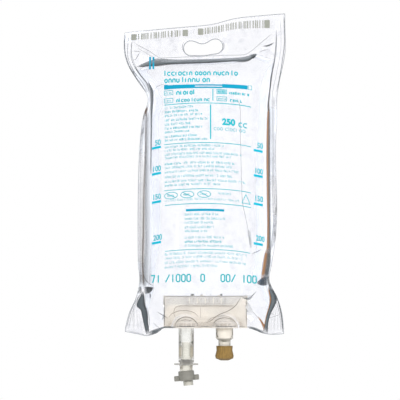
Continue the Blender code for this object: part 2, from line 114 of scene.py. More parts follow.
def through(stations, place, column=1):  # smooth value through stations of (place, value, ...)
    xs = np.array([s[0] for s in stations])
    ys = np.array([s[column] for s in stations])
    place = np.clip(np.asarray(place, float), xs[0], xs[-1])
    k = np.clip(np.searchsorted(xs, place, side="right") - 1, 0, len(xs) - 2)
    slopes = np.empty(len(xs))
    slopes[1:-1] = (ys[2:] - ys[:-2]) / (xs[2:] - xs[:-2])
    slopes[0] = (ys[1] - ys[0]) / (xs[1] - xs[0])
    slopes[-1] = (ys[-1] - ys[-2]) / (xs[-1] - xs[-2])
    span = xs[k + 1] - xs[k]
    t = (place - xs[k]) / span
    return (
        (2 * t**3 - 3 * t**2 + 1) * ys[k]
        + (t**3 - 2 * t**2 + t) * slopes[k] * span
        + (3 * t**2 - 2 * t**3) * ys[k + 1]
        + (t**3 - t**2) * slopes[k + 1] * span
    )


def ease(t):
    t = np.clip(t, 0.0, 1.0)
    return t * t * (3 - 2 * t)


# camera: a little below the bag, looking slightly up

view = {
    "distance": 2.2,
    "height": -0.160,
    "aim": (-0.0021, 0.0, -0.1001),
    "width": 0.2618,  # what the picture takes in at the bag
    "sensor": 36,
}


def addCamera():
    lens = bpy.data.cameras.new("camera")
    lens.sensor_width = view["sensor"]
    lens.lens = view["sensor"] * view["distance"] / view["width"]
    lens.clip_start = 0.01
    camera = bpy.data.objects.new("camera", lens)
    bpy.context.scene.collection.objects.link(camera)
    aim = Vector(view["aim"])
    camera.location = (aim.x, -view["distance"], view["height"])
    camera.rotation_euler = (aim - camera.location).to_track_quat("-Z", "Y").to_euler()
    bpy.context.scene.camera = camera
    bpy.context.view_layer.update()


# studio: white surroundings, dark strips that draw the edges of clear things

studio = {
    "fill": 0.80,  # world light on the object
    "lamps": (  # name, place, power in watts
        ("key", (-0.5, -0.9, 0.6), 9.0),
        ("fillRight", (0.8, -0.6, 0.2), 5.4),
        ("back", (0.1, 0.9, 0.5), 4.5),
    ),
    "lampSize": 0.7,
    "aim": (0, 0, -0.1),
    "floor": "#E9E9E7",
    "floorHeight": -0.46,
    "floorSize": 3.0,
    "floorGlow": 0.9,
    "floorGlowShare": 0.7,
    "darkElevation": 0.62,  # beyond this the surroundings seen through the bag go dark
    "darkBlend": 0.12,
    "darkLevel": 0.03,
    "flagDistance": 0.45,
    "flags": (  # bearing from straight behind in degrees, width, height
        (52.0, 0.10, 0.9),
        (-52.0, 0.10, 0.9),
        (125.0, 0.16, 0.9),
        (-125.0, 0.16, 0.9),
    ),
}


def addWorld():
    world = bpy.data.worlds.new("studio")
    bpy.context.scene.world = world
    world.use_nodes = True
    tree = world.node_tree
    tree.nodes.clear()
    path = addNode(tree, "ShaderNodeLightPath")
    seen = addNode(tree, "ShaderNodeMath", operation="MAXIMUM",
                   links={0: path.outputs["Is Glossy Ray"], 1: path.outputs["Is Transmission Ray"]})
    place = addNode(tree, "ShaderNodeTexCoord")
    split = addNode(tree, "ShaderNodeSeparateXYZ", links={0: place.outputs["Generated"]})
    steep = addNode(tree, "ShaderNodeMath", operation="ABSOLUTE", links={0: split.outputs["Z"]})
    dark = addNode(tree, "ShaderNodeMapRange", interpolation_type="SMOOTHSTEP",
                   values={1: studio["darkElevation"] - studio["darkBlend"],
                           2: studio["darkElevation"] + studio["darkBlend"],
                           3: 1.0, 4: studio["darkLevel"]},
                   links={0: steep.outputs[0]})
    fill = addNode(tree, "ShaderNodeBackground",
                   {"Color": (1, 1, 1, 1), "Strength": studio["fill"]})
    around = addNode(tree, "ShaderNodeBackground", {"Color": (1, 1, 1, 1)},
                     {"Strength": dark.outputs[0]})
    white = addNode(tree, "ShaderNodeBackground", {"Color": (1, 1, 1, 1), "Strength": 1.0})
    mixed = addNode(tree, "ShaderNodeMixShader",
                    links={0: seen.outputs[0], 1: fill.outputs[0], 2: around.outputs[0]})
    shown = addNode(tree, "ShaderNodeMixShader",
                    links={0: path.outputs["Is Camera Ray"], 1: mixed.outputs[0],
                           2: white.outputs[0]})
    addNode(tree, "ShaderNodeOutputWorld", links={"Surface": shown.outputs[0]})


def addLamp(name, place, power):
    lamp = bpy.data.lights.new(name, "AREA")
    lamp.shape = "SQUARE"
    lamp.size = studio["lampSize"]
    lamp.energy = power
    holder = bpy.data.objects.new(name, lamp)
    bpy.context.scene.collection.objects.link(holder)
    holder.location = place
    aim = Vector(studio["aim"]) - Vector(place)
    holder.rotation_euler = aim.to_track_quat("-Z", "Y").to_euler()
    holder.visible_camera = False
    holder.visible_glossy = False


def floorMaterial():  # matt pale paper, white where the camera sees it
    made, tree = newMaterial("pale floor")
    path = addNode(tree, "ShaderNodeLightPath")
    paint = addNode(tree, "ShaderNodeBsdfDiffuse", {"Color": rgba(studio["floor"])})
    glow = addNode(tree, "ShaderNodeEmission",
                   {"Color": (1, 1, 1, 1), "Strength": studio["floorGlow"]})
    seen = addNode(tree, "ShaderNodeMath", operation="MAXIMUM",
                   links={0: path.outputs["Is Camera Ray"], 1: path.outputs["Is Transmission Ray"]})
    share = addNode(tree, "ShaderNodeMath", operation="MULTIPLY",
                    values={1: studio["floorGlowShare"]}, links={0: seen.outputs[0]})
    mixed = addNode(tree, "ShaderNodeMixShader",
                    links={0: share.outputs[0], 1: paint.outputs[0], 2: glow.outputs[0]})
    addNode(tree, "ShaderNodeOutputMaterial", links={"Surface": mixed.outputs[0]})
    return made


def flagMaterial():  # black cloth that gives back no light
    made, tree = newMaterial("black flag")
    black = addNode(tree, "ShaderNodeEmission", {"Color": (1, 1, 1, 1), "Strength": 0.0})
    addNode(tree, "ShaderNodeOutputMaterial", links={"Surface": black.outputs[0]})
    return made


def addStage():
    bpy.ops.mesh.primitive_plane_add(size=studio["floorSize"],
                                     location=(0, 0, studio["floorHeight"]))
    floor = ownMesh("floor")
    applyPlace(floor)
    floor.data.materials.append(floorMaterial())
    black = flagMaterial()
    away = studio["flagDistance"]
    for index, (bearing, width, height) in enumerate(studio["flags"]):
        turn = math.radians(bearing)
        bpy.ops.mesh.primitive_plane_add(size=1.0)
        flag = ownMesh(f"flag{index}")
        flag.scale = (width, height, 1)
        flag.rotation_euler = (math.radians(90), 0, -turn)
        flag.location = (away * math.sin(turn), away * math.cos(turn), studio["aim"][2])
        applyPlace(flag)
        flag.data.materials.append(black)
        flag.visible_camera = False
        flag.visible_diffuse = False
        flag.visible_shadow = False


# the film's shape, in metres, with x measured from the block's middle

blockLow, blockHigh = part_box("port_block")
blockX = (blockLow.x + blockHigh.x) / 2
blockWide = (blockHigh.x - blockLow.x) / 2
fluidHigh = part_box("saline_fill")[1]

bag = {
    "width": 0.1052,  # of the flat film
    "filmThickness": 0.00022,
    "weldGap": 0.0003,
    "rise": 0.0162,  # top edge over the hanger hole, and how it climbs to the right
    "slope": 0.072,
    "step": 0.0020,
    "stepAt": 0.012,
    "stepRun": 0.009,
    "drop": -blockLow.z,
    "sideWeld": 0.0056,
    "turnLimit": 1.1,  # a side weld turns back no further than this share of its seen width
    "bottomWeld": 0.0045,
    "curl": 0.0085,  # how far the header's left end turns back
    "curlAcross": 1.6,
    "curlUp": 1.4,
    "wave": 0.0012,
    "waves": 9.0,
    "cornerCurl": 0.0045,
    "cornerFrom": 0.86,
    "fluidHalf": fluidHigh.y + 0.0003,
    "fullness": 2.2,  # section of the filled part
    "roundness": 0.60,
    "weldDrop": 0.0062,  # weld under the header
    "weldSlope": 0.036,
    "weldFlat": 0.0275,
    "weldHalf": 0.0012,
    "riseLeft": 0.0112,
    "riseRight": 0.0160,
    "pocket": 0.0160,
    "pocketFrom": 0.6,
    # share of the way from block to corner, sag of the lower edge at the left, at the right
    "sag": (
        (0.00, 0.0000, 0.0000), (0.08, 0.0014, 0.0002), (0.20, 0.0034, 0.0012),
        (0.43, 0.0049, 0.0034), (0.69, 0.0037, 0.0041), (1.00, 0.0021, 0.0035),
    ),
    # share of the height down, how far the film is drawn in at the left, at the right
    "draw": (
        (0.00, 0.0000, 0.0005), (0.09, -0.0006, 0.0002), (0.14, 0.0021, 0.0018),
        (0.19, 0.0082, 0.0040), (0.245, 0.0150, 0.0056), (0.31, 0.0118, 0.0057),
        (0.42, 0.0094, 0.0066), (0.60, 0.0085, 0.0057), (0.70, 0.0085, 0.0066),
        (0.79, 0.0087, 0.0092), (0.845, 0.0096, 0.0107), (0.90, 0.0074, 0.0057),
        (0.95, 0.0030, 0.0027), (1.00, 0.0004, 0.0016),
    ),
    # share of the height down, seen width of the side weld at the left, at the right
    "inset": (
        (0.00, 0.0050, 0.0056), (0.14, 0.0044, 0.0058), (0.20, 0.0036, 0.0052),
        (0.245, 0.0026, 0.0044), (0.40, 0.0040, 0.0037), (0.60, 0.0049, 0.0044),
        (0.75, 0.0048, 0.0026), (0.845, 0.0034, 0.0026), (0.90, 0.0060, 0.0050),
        (0.95, 0.0102, 0.0078), (1.00, 0.0134, 0.0108),
    ),
    # share of the filling down, share of its full depth
    "depth": (
        (0.000, 0.00), (0.010, 0.26), (0.030, 0.44), (0.080, 0.62), (0.200, 0.80),
        (0.400, 0.93), (0.600, 1.00), (0.740, 0.95), (0.840, 0.76), (0.910, 0.48),
        (0.970, 0.22), (1.000, 0.00),
    ),
}


def heightShare(z):
    return (bag["rise"] - z) / (bag["rise"] + bag["drop"])


def filmEdge(z, side):
    drawnIn = through(bag["draw"], heightShare(z), 1 if side < 0 else 2)
    return side * (bag["width"] / 2 - drawnIn)


def fluidEdge(z, side):
    return filmEdge(z, side) - side * through(bag["inset"], heightShare(z), 1 if side < 0 else 2)


def topEdge(x):
    step = bag["step"] * np.tanh((x - bag["stepAt"]) / bag["stepRun"])
    return bag["rise"] + bag["slope"] * x + step


def weldLine(x):
    rise = np.where(x < 0, bag["riseLeft"], bag["riseRight"])
    run = bag["width"] / 2 - bag["sideWeld"] - bag["weldFlat"]
    climb = np.clip((np.abs(x) - bag["weldFlat"]) / run, 0.0, 1.0)
    return -bag["weldDrop"] + bag["weldSlope"] * x + rise * climb


def fluidTop(x):
    half = bag["width"] / 2 - bag["sideWeld"]
    first = bag["pocketFrom"]
    out = ease((np.abs(x) - first * half) / ((1 - first) * half))
    return weldLine(x) - bag["weldHalf"] - bag["pocket"] * out


def bottomEdge(x):
    beside = np.clip((np.abs(x) - blockWide) / (bag["width"] / 2 - blockWide), 0.0, 1.0)
    sag = np.where(x < 0, through(bag["sag"], beside, 1), through(bag["sag"], beside, 2))
    return -bag["drop"] - sag


def fluidBottom(x):
    return bottomEdge(x) + bag["bottomWeld"]


block = {
    "mid": 0.0035,  # half depth in its middle and at its ends
    "end": 0.0012,
    "taper": 2.2,
    "spacing": 0.0250,  # of the two ports
    "dome": 0.0082,
    "skirt": 0.0125,
    "clear": 0.0010,  # from the block to the film's middle
    "besideBlock": 0.0025,
    "sideFade": 0.0060,
    "topFade": 0.004,
}


def blockHalf(x):
    share = np.minimum(np.abs(x) / blockWide, 1.0)
    return block["end"] + (block["mid"] - block["end"]) * (1 - share ** block["taper"])


def overBlock(x, z):  # half depth that the film needs over the block
    beyond = (np.abs(x) - blockWide - block["besideBlock"]) / block["sideFade"]
    above = (z - blockHigh.z - block["clear"]) / block["topFade"]
    half = (blockHalf(x) + block["clear"]) * (1 - ease(beyond)) * (1 - ease(above))
    for port in (-block["spacing"] / 2, block["spacing"] / 2):
        away = np.hypot(x - port, z + bag["drop"]) / (block["skirt"] + block["clear"])
        dome = (block["dome"] + block["clear"]) * np.cos(np.minimum(away, 1.0) * np.pi / 2)
        half = np.maximum(half, dome)
    return half


def filledHalf(across, down):
    section = np.clip(1 - np.abs(across) ** bag["fullness"], 0, 1) ** bag["roundness"]
    return bag["fluidHalf"] * through(bag["depth"], down) * section


def sheetMiddle(x, z, across, sideOut):
    line = weldLine(x)
    climb = np.clip((z - line) / (topEdge(x) - line), 0.0, 1.0)
    left = np.clip(-x / (bag["width"] / 2), 0.0, 1.0)
    middle = bag["curl"] * left ** bag["curlAcross"] * climb ** bag["curlUp"]
    middle = middle + bag["wave"] * np.sin(bag["waves"] * x / bag["width"]) * climb
    down = heightShare(z)
    seen = np.where(across < 0, through(bag["inset"], down, 1), through(bag["inset"], down, 2))
    turned = np.sqrt(np.clip(bag["sideWeld"] ** 2 - seen**2, 0, None))
    middle = middle + np.minimum(turned, bag["turnLimit"] * seen) * sideOut
    corner = ease((down - bag["cornerFrom"]) / (1 - bag["cornerFrom"]))
    return middle - bag["cornerCurl"] * sideOut * corner


# how many faces: across the filling and each side weld, down the header, pocket, filling and weld
grid = {"fluid": 96, "margin": 12, "header": 22, "pocket": 6, "rows": 150, "weld": 12,
        "even": 0.35,  # share of the filling's rows that is evenly spaced
        "rounds": 6}


def columnPlaces():  # columns stand closer toward the sides of the filling
    t = np.linspace(0, 1, grid["fluid"] + 1)
    across = 0.5 * (2 * t - 1) - 0.5 * np.cos(np.pi * t)
    out = np.linspace(0, 1, grid["margin"] + 1)[1:]
    left = np.full(grid["margin"], -1.0)
    right = np.full(grid["margin"], 1.0)
    return (np.concatenate([left, across, right]),
            np.concatenate([out[::-1], np.zeros(grid["fluid"] + 1), out]))


def rowBands():  # rows stand closer toward its top and foot
    t = np.arange(grid["rows"]) / grid["rows"]
    bands = [("header", k / grid["header"]) for k in range(grid["header"])]
    bands += [("pocket", k / grid["pocket"]) for k in range(grid["pocket"])]
    even = grid["even"]
    bands += [("fluid", v) for v in even * t + (1 - even) * (1 - np.cos(np.pi * t)) / 2]
    bands += [("weld", k / grid["weld"]) for k in range(grid["weld"] + 1)]
    return bands


levels = {
    "header": (topEdge, weldLine),
    "pocket": (weldLine, fluidTop),
    "fluid": (fluidTop, fluidBottom),
    "weld": (fluidBottom, bottomEdge),
}


def shapeBag():  # x, z, middle and half depth of every grid point, column by column
    across, sideOut = columnPlaces()
    bands = rowBands()
    shape = {key: np.zeros((len(across), len(bands))) for key in ("x", "z", "middle", "half")}
    for j, (band, share) in enumerate(bands):
        x = bag["width"] / 2 * across
        upper, lower = levels[band]
        for _ in range(grid["rounds"]):  # place and height follow from each other
            z = upper(x) + (lower(x) - upper(x)) * share
            left, right = fluidEdge(z, -1), fluidEdge(z, 1)
            x = (left + right) / 2 + (right - left) / 2 * across
            edge = np.where(across < 0, filmEdge(z, -1), filmEdge(z, 1))
            x = np.where(sideOut > 0, x + (edge - x) * sideOut, x)
        down = share if band == "fluid" else 0.0
        half = np.where(sideOut > 0, 0.0, filledHalf(across, np.full_like(across, down)))
        if band == "weld":
            half = np.zeros_like(half)
        shape["x"][:, j] = x
        shape["z"][:, j] = z
        shape["middle"][:, j] = sheetMiddle(x, z, across, sideOut)
        shape["half"][:, j] = half
    return shape


def gridOrder(mesh, columns, rows):  # which column and row each point of a new grid is in
    flat = np.zeros(len(mesh.vertices) * 3)
    mesh.vertices.foreach_get("co", flat)
    flat = flat.reshape(-1, 3)
    i = np.rint((flat[:, 0] + 1) / 2 * (columns - 1)).astype(int)
    j = np.rint((1 - flat[:, 1]) / 2 * (rows - 1)).astype(int)
    return i, j


def gridMesh(name, x, y, z, colours=None):  # a grid primitive with its points moved into place
    columns, rows = x.shape
    bpy.ops.mesh.primitive_grid_add(x_subdivisions=columns - 1, y_subdivisions=rows - 1, size=2)
    sheet = ownMesh(name)
    mesh = sheet.data
    i, j = gridOrder(mesh, columns, rows)
    places = np.stack([x[i, j], y[i, j], z[i, j]], axis=1)
    mesh.vertices.foreach_set("co", places.ravel())
    if colours is not None:
        layer = mesh.color_attributes.new("tone", "FLOAT_COLOR", "POINT")
        layer.data.foreach_set("color", colours[i, j].ravel())
    mesh.update()
    return sheet


def faceAlongY(sheet, side):  # turn the faces so that most look along side * Y
    normals = np.zeros(len(sheet.data.polygons) * 3)
    sheet.data.polygons.foreach_get("normal", normals)
    if normals.reshape(-1, 3)[:, 1].sum() * side < 0:
        sheet.data.flip_normals()


# materials of the bag

patterns = {  # sizes in mm
    "ripple": 16.667,  # waves that cast film keeps from its rollers
    "patches": 7.692,  # cloudy patches of film against film
    "mottle": 5.556,  # uneven clouding of moulded plastic
    "speck": 0.4,  # finer in real ink, drawn this coarse so that it shows
}
noiseRange = {1: 0.3, 2: 0.7}  # where most of a noise lies
plasticIndex = 1.49  # polypropylene and polyolefin film


def waves(size):  # a size in mm to the scale of a noise
    return 1 / (size * mm)


filmLook = {
    "gloss": "#F2F5FA",
    "roughness": 0.06,
    "fresnel": 1.45,
    "shine": (0.03, 0.75),  # share of gloss, seen face on and edge on
    "clear": (0.971, 0.969, 0.974, 1),  # share of red, green and blue that gets through
    "cloudy": (0.90, 0.90, 0.915, 1),
    "cloudRange": {1: 0.52, 2: 0.72, 3: 0.0, 4: 0.55},
    "ripple": 0.25,
    "rippleHeight": 0.0006,
}


def filmMaterial():  # cast polyolefin: clear, glossy, faintly blue, a little cloudy in patches
    made, tree = newMaterial("polyolefin film")
    place = addNode(tree, "ShaderNodeTexCoord")
    ripple = addNode(tree, "ShaderNodeTexNoise",
                     {"Scale": waves(patterns["ripple"]), "Detail": 2.0, "Roughness": 0.5},
                     {"Vector": place.outputs["Object"]})
    patches = addNode(tree, "ShaderNodeTexNoise",
                      {"Scale": waves(patterns["patches"]), "Detail": 4.0, "Roughness": 0.6},
                      {"Vector": place.outputs["Object"]})
    cloud = addNode(tree, "ShaderNodeMapRange", filmLook["cloudRange"],
                    {0: patches.outputs["Fac"]})
    tint = addNode(tree, "ShaderNodeMix", {"A": filmLook["clear"], "B": filmLook["cloudy"]},
                   {"Factor": cloud.outputs[0]}, data_type="RGBA")
    bump = addNode(tree, "ShaderNodeBump",
                   {"Strength": filmLook["ripple"], "Distance": filmLook["rippleHeight"]},
                   {"Height": ripple.outputs["Fac"]})
    gloss = addNode(tree, "ShaderNodeBsdfPrincipled",
                    {"Base Color": rgba(filmLook["gloss"]), "Roughness": filmLook["roughness"],
                     "IOR": plasticIndex},
                    {"Normal": bump.outputs[0]})
    clear = addNode(tree, "ShaderNodeBsdfTransparent", links={"Color": tint.outputs[2]})
    edge = addNode(tree, "ShaderNodeFresnel", {"IOR": filmLook["fresnel"]},
                   {"Normal": bump.outputs[0]})
    low, high = filmLook["shine"]
    share = addNode(tree, "ShaderNodeMapRange", {1: 0.0, 2: 1.0, 3: low, 4: high},
                    {0: edge.outputs[0]})
    path = addNode(tree, "ShaderNodeLightPath")
    lit = addNode(tree, "ShaderNodeMath", operation="SUBTRACT", values={0: 1.0},
                  links={1: path.outputs["Is Shadow Ray"]})
    cover = addNode(tree, "ShaderNodeMath", operation="MULTIPLY",
                    links={0: share.outputs[0], 1: lit.outputs[0]})
    mixed = addNode(tree, "ShaderNodeMixShader",
                    links={0: cover.outputs[0], 1: clear.outputs[0], 2: gloss.outputs[0]})
    addNode(tree, "ShaderNodeOutputMaterial", links={"Surface": mixed.outputs[0]})
    return made


salineLook = {
    "index": 1.333,
    "body": (0.985, 0.99, 1.0, 1),  # share of red, green and blue that gets through
    "shadow": (0.97, 0.98, 0.99, 1),
}


def salineMaterial():  # water: bends light, so its steep sides look dark
    made, tree = newMaterial("saline")
    water = addNode(tree, "ShaderNodeBsdfPrincipled",
                    {"Base Color": salineLook["body"], "Roughness": 0.0,
                     "IOR": salineLook["index"], "Transmission Weight": 1.0})
    clear = addNode(tree, "ShaderNodeBsdfTransparent", {"Color": salineLook["shadow"]})
    path = addNode(tree, "ShaderNodeLightPath")
    mixed = addNode(tree, "ShaderNodeMixShader",
                    links={0: path.outputs["Is Shadow Ray"], 1: water.outputs[0],
                           2: clear.outputs[0]})
    addNode(tree, "ShaderNodeOutputMaterial", links={"Surface": mixed.outputs[0]})
    return made


edgeLook = {
    "colour": "#8C9196",
    "roughness": 0.25,
    "clear": (0.9, 0.91, 0.93, 1),
    "cover": 0.55,
}


def edgeMaterial():  # cut and melted film edges catch the light and look grey
    made, tree = newMaterial("melted film edge")
    body = addNode(tree, "ShaderNodeBsdfPrincipled",
                   {"Base Color": rgba(edgeLook["colour"]), "Roughness": edgeLook["roughness"],
                    "IOR": plasticIndex})
    clear = addNode(tree, "ShaderNodeBsdfTransparent", {"Color": edgeLook["clear"]})
    mixed = addNode(tree, "ShaderNodeMixShader", {0: edgeLook["cover"]},
                    {1: clear.outputs[0], 2: body.outputs[0]})
    addNode(tree, "ShaderNodeOutputMaterial", links={"Surface": mixed.outputs[0]})
    return made


inkLook = {"roughness": 0.6, "specular": 0.2, "uneven": {3: 0.92, 4: 1.08}}


def inkMaterial(name, colour):  # thin matt printing ink, a little uneven in strength
    made, tree = newMaterial(name)
    place = addNode(tree, "ShaderNodeTexCoord")
    speck = addNode(tree, "ShaderNodeTexNoise",
                    {"Scale": waves(patterns["speck"]), "Detail": 1.0},
                    {"Vector": place.outputs["Object"]})
    tint = addNode(tree, "ShaderNodeMapRange", {**noiseRange, **inkLook["uneven"]},
                   {0: speck.outputs["Fac"]})
    shade = addNode(tree, "ShaderNodeHueSaturation", {"Color": rgba(colour)},
                    {"Value": tint.outputs[0]})
    ink = addNode(tree, "ShaderNodeBsdfPrincipled",
                  {"Roughness": inkLook["roughness"], "Specular IOR Level": inkLook["specular"]},
                  {"Base Color": shade.outputs[0]})
    addNode(tree, "ShaderNodeOutputMaterial", links={"Surface": ink.outputs[0]})
    return made


mouldedLook = {
    "mottle": 0.035,
    "mottleStretch": (1, 1, 1),
    "bump": 0.12,
    "bumpHeight": 0.0003,
    "clearEdge": 0.3,  # share of its clearness that is left where it is seen edge on
}


def mouldedMaterial(look):  # translucent plastic: pale where thin, darker at its outline
    look = {**mouldedLook, **look}
    made, tree = newMaterial(look["name"])
    place = addNode(tree, "ShaderNodeTexCoord")
    mottleStretch = addNode(tree, "ShaderNodeMapping", {"Scale": look["mottleStretch"]},
                    {"Vector": place.outputs["Object"]})
    cloud = addNode(tree, "ShaderNodeTexNoise",
                    {"Scale": waves(patterns["mottle"]), "Detail": 3.0},
                    {"Vector": mottleStretch.outputs[0]})
    tint = addNode(tree, "ShaderNodeMapRange",
                   {**noiseRange, 3: 1 - look["mottle"], 4: 1 + look["mottle"]},
                   {0: cloud.outputs["Fac"]})
    rimShare = addNode(tree, "ShaderNodeLayerWeight", {"Blend": 0.5})
    curve = addNode(tree, "ShaderNodeMath", operation="POWER", values={1: look["spread"]},
                    links={0: rimShare.outputs["Facing"]})
    shade = addNode(tree, "ShaderNodeMix", {"A": rgba(look["middle"]), "B": rgba(look["edge"])},
                    {"Factor": curve.outputs[0]}, data_type="RGBA")
    tones = look["tones"]  # height in metres and brightness, as thick rings are darker
    split = addNode(tree, "ShaderNodeSeparateXYZ", links={0: place.outputs["Object"]})
    lowest, highest = tones[0][0], tones[-1][0]
    up = addNode(tree, "ShaderNodeMapRange", values={1: lowest, 2: highest, 3: 0.0, 4: 1.0},
                 links={0: split.outputs["Z"]})
    ramp = addNode(tree, "ShaderNodeValToRGB", links={"Fac": up.outputs[0]})
    stops = ramp.color_ramp.elements
    stops[0].color = (tones[0][1],) * 3 + (1,)
    stops[1].color = (tones[-1][1],) * 3 + (1,)
    for height, level in tones[1:-1]:
        stops.new((height - lowest) / (highest - lowest)).color = (level,) * 3 + (1,)
    value = addNode(tree, "ShaderNodeMath", operation="MULTIPLY",
                    links={0: tint.outputs[0], 1: ramp.outputs["Color"]})
    toned = addNode(tree, "ShaderNodeHueSaturation",
                    links={"Color": shade.outputs[2], "Value": value.outputs[0]})
    bump = addNode(tree, "ShaderNodeBump",
                   {"Strength": look["bump"], "Distance": look["bumpHeight"]},
                   {"Height": cloud.outputs["Fac"]})
    body = addNode(tree, "ShaderNodeBsdfPrincipled",
                   {"Roughness": look["roughness"], "IOR": plasticIndex},
                   {"Base Color": toned.outputs[0], "Normal": bump.outputs[0]})
    clear = addNode(tree, "ShaderNodeBsdfTransparent", links={"Color": toned.outputs[0]})
    share = addNode(tree, "ShaderNodeMapRange",
                    {1: 0.0, 2: 1.0, 3: 1 - look["clear"],
                     4: 1 - look["clear"] * look["clearEdge"]},
                    {0: curve.outputs[0]})
    mixed = addNode(tree, "ShaderNodeMixShader",
                    links={0: share.outputs[0], 1: clear.outputs[0], 2: body.outputs[0]})
    addNode(tree, "ShaderNodeOutputMaterial", links={"Surface": mixed.outputs[0]})
    return made


addCamera()
addWorld()
for lamp in studio["lamps"]:
    addLamp(*lamp)
addStage()
print("studio ready")

# the film sheets

shape = shapeBag()
film = filmMaterial()

hole = {
    "offset": -0.0014,
    "lobe": 0.0047,  # radius of its round ends
    "spacing": 0.0160,
    "pinch": 0.0026,  # how far its upper edge dips and its lower edge sinks
    "belly": 0.0006,
    "tilt": 4.5,
    "endSteps": 24,
    "edgeSteps": 16,
    "cutDepth": 0.06,
}


def holeOutline(grow=0.0):
    half = hole["spacing"] / 2
    radius = hole["lobe"] + grow
    points = []
    for end, deep in ((1, hole["pinch"]), (-1, hole["belly"])):
        for k in range(hole["endSteps"] + 1):
            turn = math.radians(-90 * end + 180 * k / hole["endSteps"])
            points.append((end * half + radius * math.cos(turn), radius * math.sin(turn)))
        for k in range(1, hole["edgeSteps"]):
            x = end * (half - 2 * half * k / hole["edgeSteps"])
            dip = deep * (1 + math.cos(math.pi * x / half)) / 2
            points.append((x, radius - dip if end > 0 else -radius - dip))
    turn = math.radians(hole["tilt"])
    return [(x * math.cos(turn) - z * math.sin(turn), x * math.sin(turn) + z * math.cos(turn))
            for x, z in points]


def addHoleCutter():
    outline = holeOutline()
    bpy.ops.mesh.primitive_circle_add(vertices=len(outline), radius=1, fill_type="NGON")
    cutter = ownMesh("holeCutter")
    for vertex, (x, z) in zip(cutter.data.vertices, outline):
        vertex.co = (x + hole["offset"] + blockX, -hole["cutDepth"] / 2, z)
    selectOnly(cutter)
    bpy.ops.object.mode_set(mode="EDIT")
    bpy.ops.mesh.select_all(action="SELECT")
    bpy.ops.mesh.extrude_region_move(TRANSFORM_OT_translate={"value": (0, hole["cutDepth"], 0)})
    bpy.ops.mesh.select_all(action="SELECT")
    bpy.ops.mesh.normals_make_consistent(inside=False)
    bpy.ops.object.mode_set(mode="OBJECT")
    return cutter


def addSheet(name, side, node, cutter):
    half = np.maximum(shape["half"], overBlock(shape["x"], shape["z"]))
    face = shape["middle"] + side * (half + bag["weldGap"] / 2)
    sheet = gridMesh(name, shape["x"] + blockX, face, shape["z"])
    faceAlongY(sheet, side)
    wall = sheet.modifiers.new("wall", "SOLIDIFY")
    wall.thickness = bag["filmThickness"]
    wall.offset = 1.0
    cut = sheet.modifiers.new("hole", "BOOLEAN")
    cut.operation = "DIFFERENCE"
    cut.object = cutter
    applyModifiers(sheet)
    return finishPiece(sheet, film, "bag", (node,), 60)


cutter = addHoleCutter()
frontFilm = addSheet("frontSheet", -1, "front_film", cutter)
backFilm = addSheet("backSheet", 1, "back_film", cutter)
bpy.data.objects.remove(cutter, do_unlink=True)
print("film sheets ready")

# the saline

fluid = {
    "gap": 0.0003,  # to the film
    "overBlockTop": 0.0078,  # how far the fluid comes down over the block's top
    "besideBlock": 0.0005,
    "blockFade": 0.0030,
    "aboveBlock": 0.002,
    "blockGap": 0.0002,
    "farBelow": -1.0,
    "merge": 0.00001,
    "sliver": 0.000005,
}


def addFluid():
    first = grid["header"] + grid["pocket"]
    last = first + grid["rows"]
    left, right = grid["margin"], grid["margin"] + grid["fluid"]
    x = shape["x"][left:right + 1, first:last + 1]
    z = shape["z"][left:right + 1, first:last + 1]
    middle = shape["middle"][left:right + 1, first:last + 1]
    half = shape["half"][left:right + 1, first:last + 1] * (1 - fluid["gap"] / bag["fluidHalf"])
    # over the block the fluid ends on its faces
    gap = fluid["blockGap"]
    inside = 1 - ease((np.abs(x) - blockWide + fluid["besideBlock"]) / fluid["blockFade"])
    floorZ = blockHigh.z - fluid["overBlockTop"]
    lifted = np.maximum(z, floorZ * inside + fluid["farBelow"] * (1 - inside))
    low = z < blockHigh.z + fluid["aboveBlock"]
    half = np.maximum(half, (blockHalf(x) + gap) * inside * low)
    half = np.minimum(half, np.where(lifted > z, blockHalf(x) + 2 * gap, 1.0))
    front = gridMesh("fluidFront", x + blockX, middle - half, lifted)
    back = gridMesh("fluidBack", x + blockX, middle + half, lifted)
    faceAlongY(front, -1)
    faceAlongY(back, 1)
    selectOnly(back)
    front.select_set(True)
    bpy.context.view_layer.objects.active = front
    bpy.ops.object.join()
    body = ownMesh("salineBody")
    bpy.ops.object.mode_set(mode="EDIT")
    bpy.ops.mesh.select_all(action="SELECT")
    bpy.ops.mesh.remove_doubles(threshold=fluid["merge"])
    bpy.ops.mesh.select_all(action="DESELECT")
    bpy.ops.mesh.select_mode(type="EDGE")
    bpy.ops.mesh.select_non_manifold(extend=False, use_wire=False, use_boundary=True,
                                     use_multi_face=False, use_non_contiguous=False,
                                     use_verts=False)
    bpy.ops.mesh.bridge_edge_loops()
    bpy.ops.mesh.select_mode(type="VERT")
    bpy.ops.mesh.select_all(action="SELECT")
    bpy.ops.mesh.dissolve_degenerate(threshold=fluid["sliver"])
    bpy.ops.object.mode_set(mode="OBJECT")
    finishPiece(body, salineMaterial(), "bag", ("saline_fill",), 60)


addFluid()
print("saline ready")


# laying thin things on the sheets and the parts: places are mm from the middle of the hanger hole


def treeOf(thing):
    return BVHTree.FromObject(thing, bpy.context.evaluated_depsgraph_get())


trees = {
    -1: treeOf(frontFilm),
    1: treeOf(backFilm),
    "block": treeOf(nodes["port_block"]),
    "tube": treeOf(nodes["spike_port_tube"]),
    "neck": treeOf(nodes["spike_sleeve"]),
    "port": treeOf(nodes["additive_port_body"]),
}


rayStart = 0.1  # metres in front of the bag


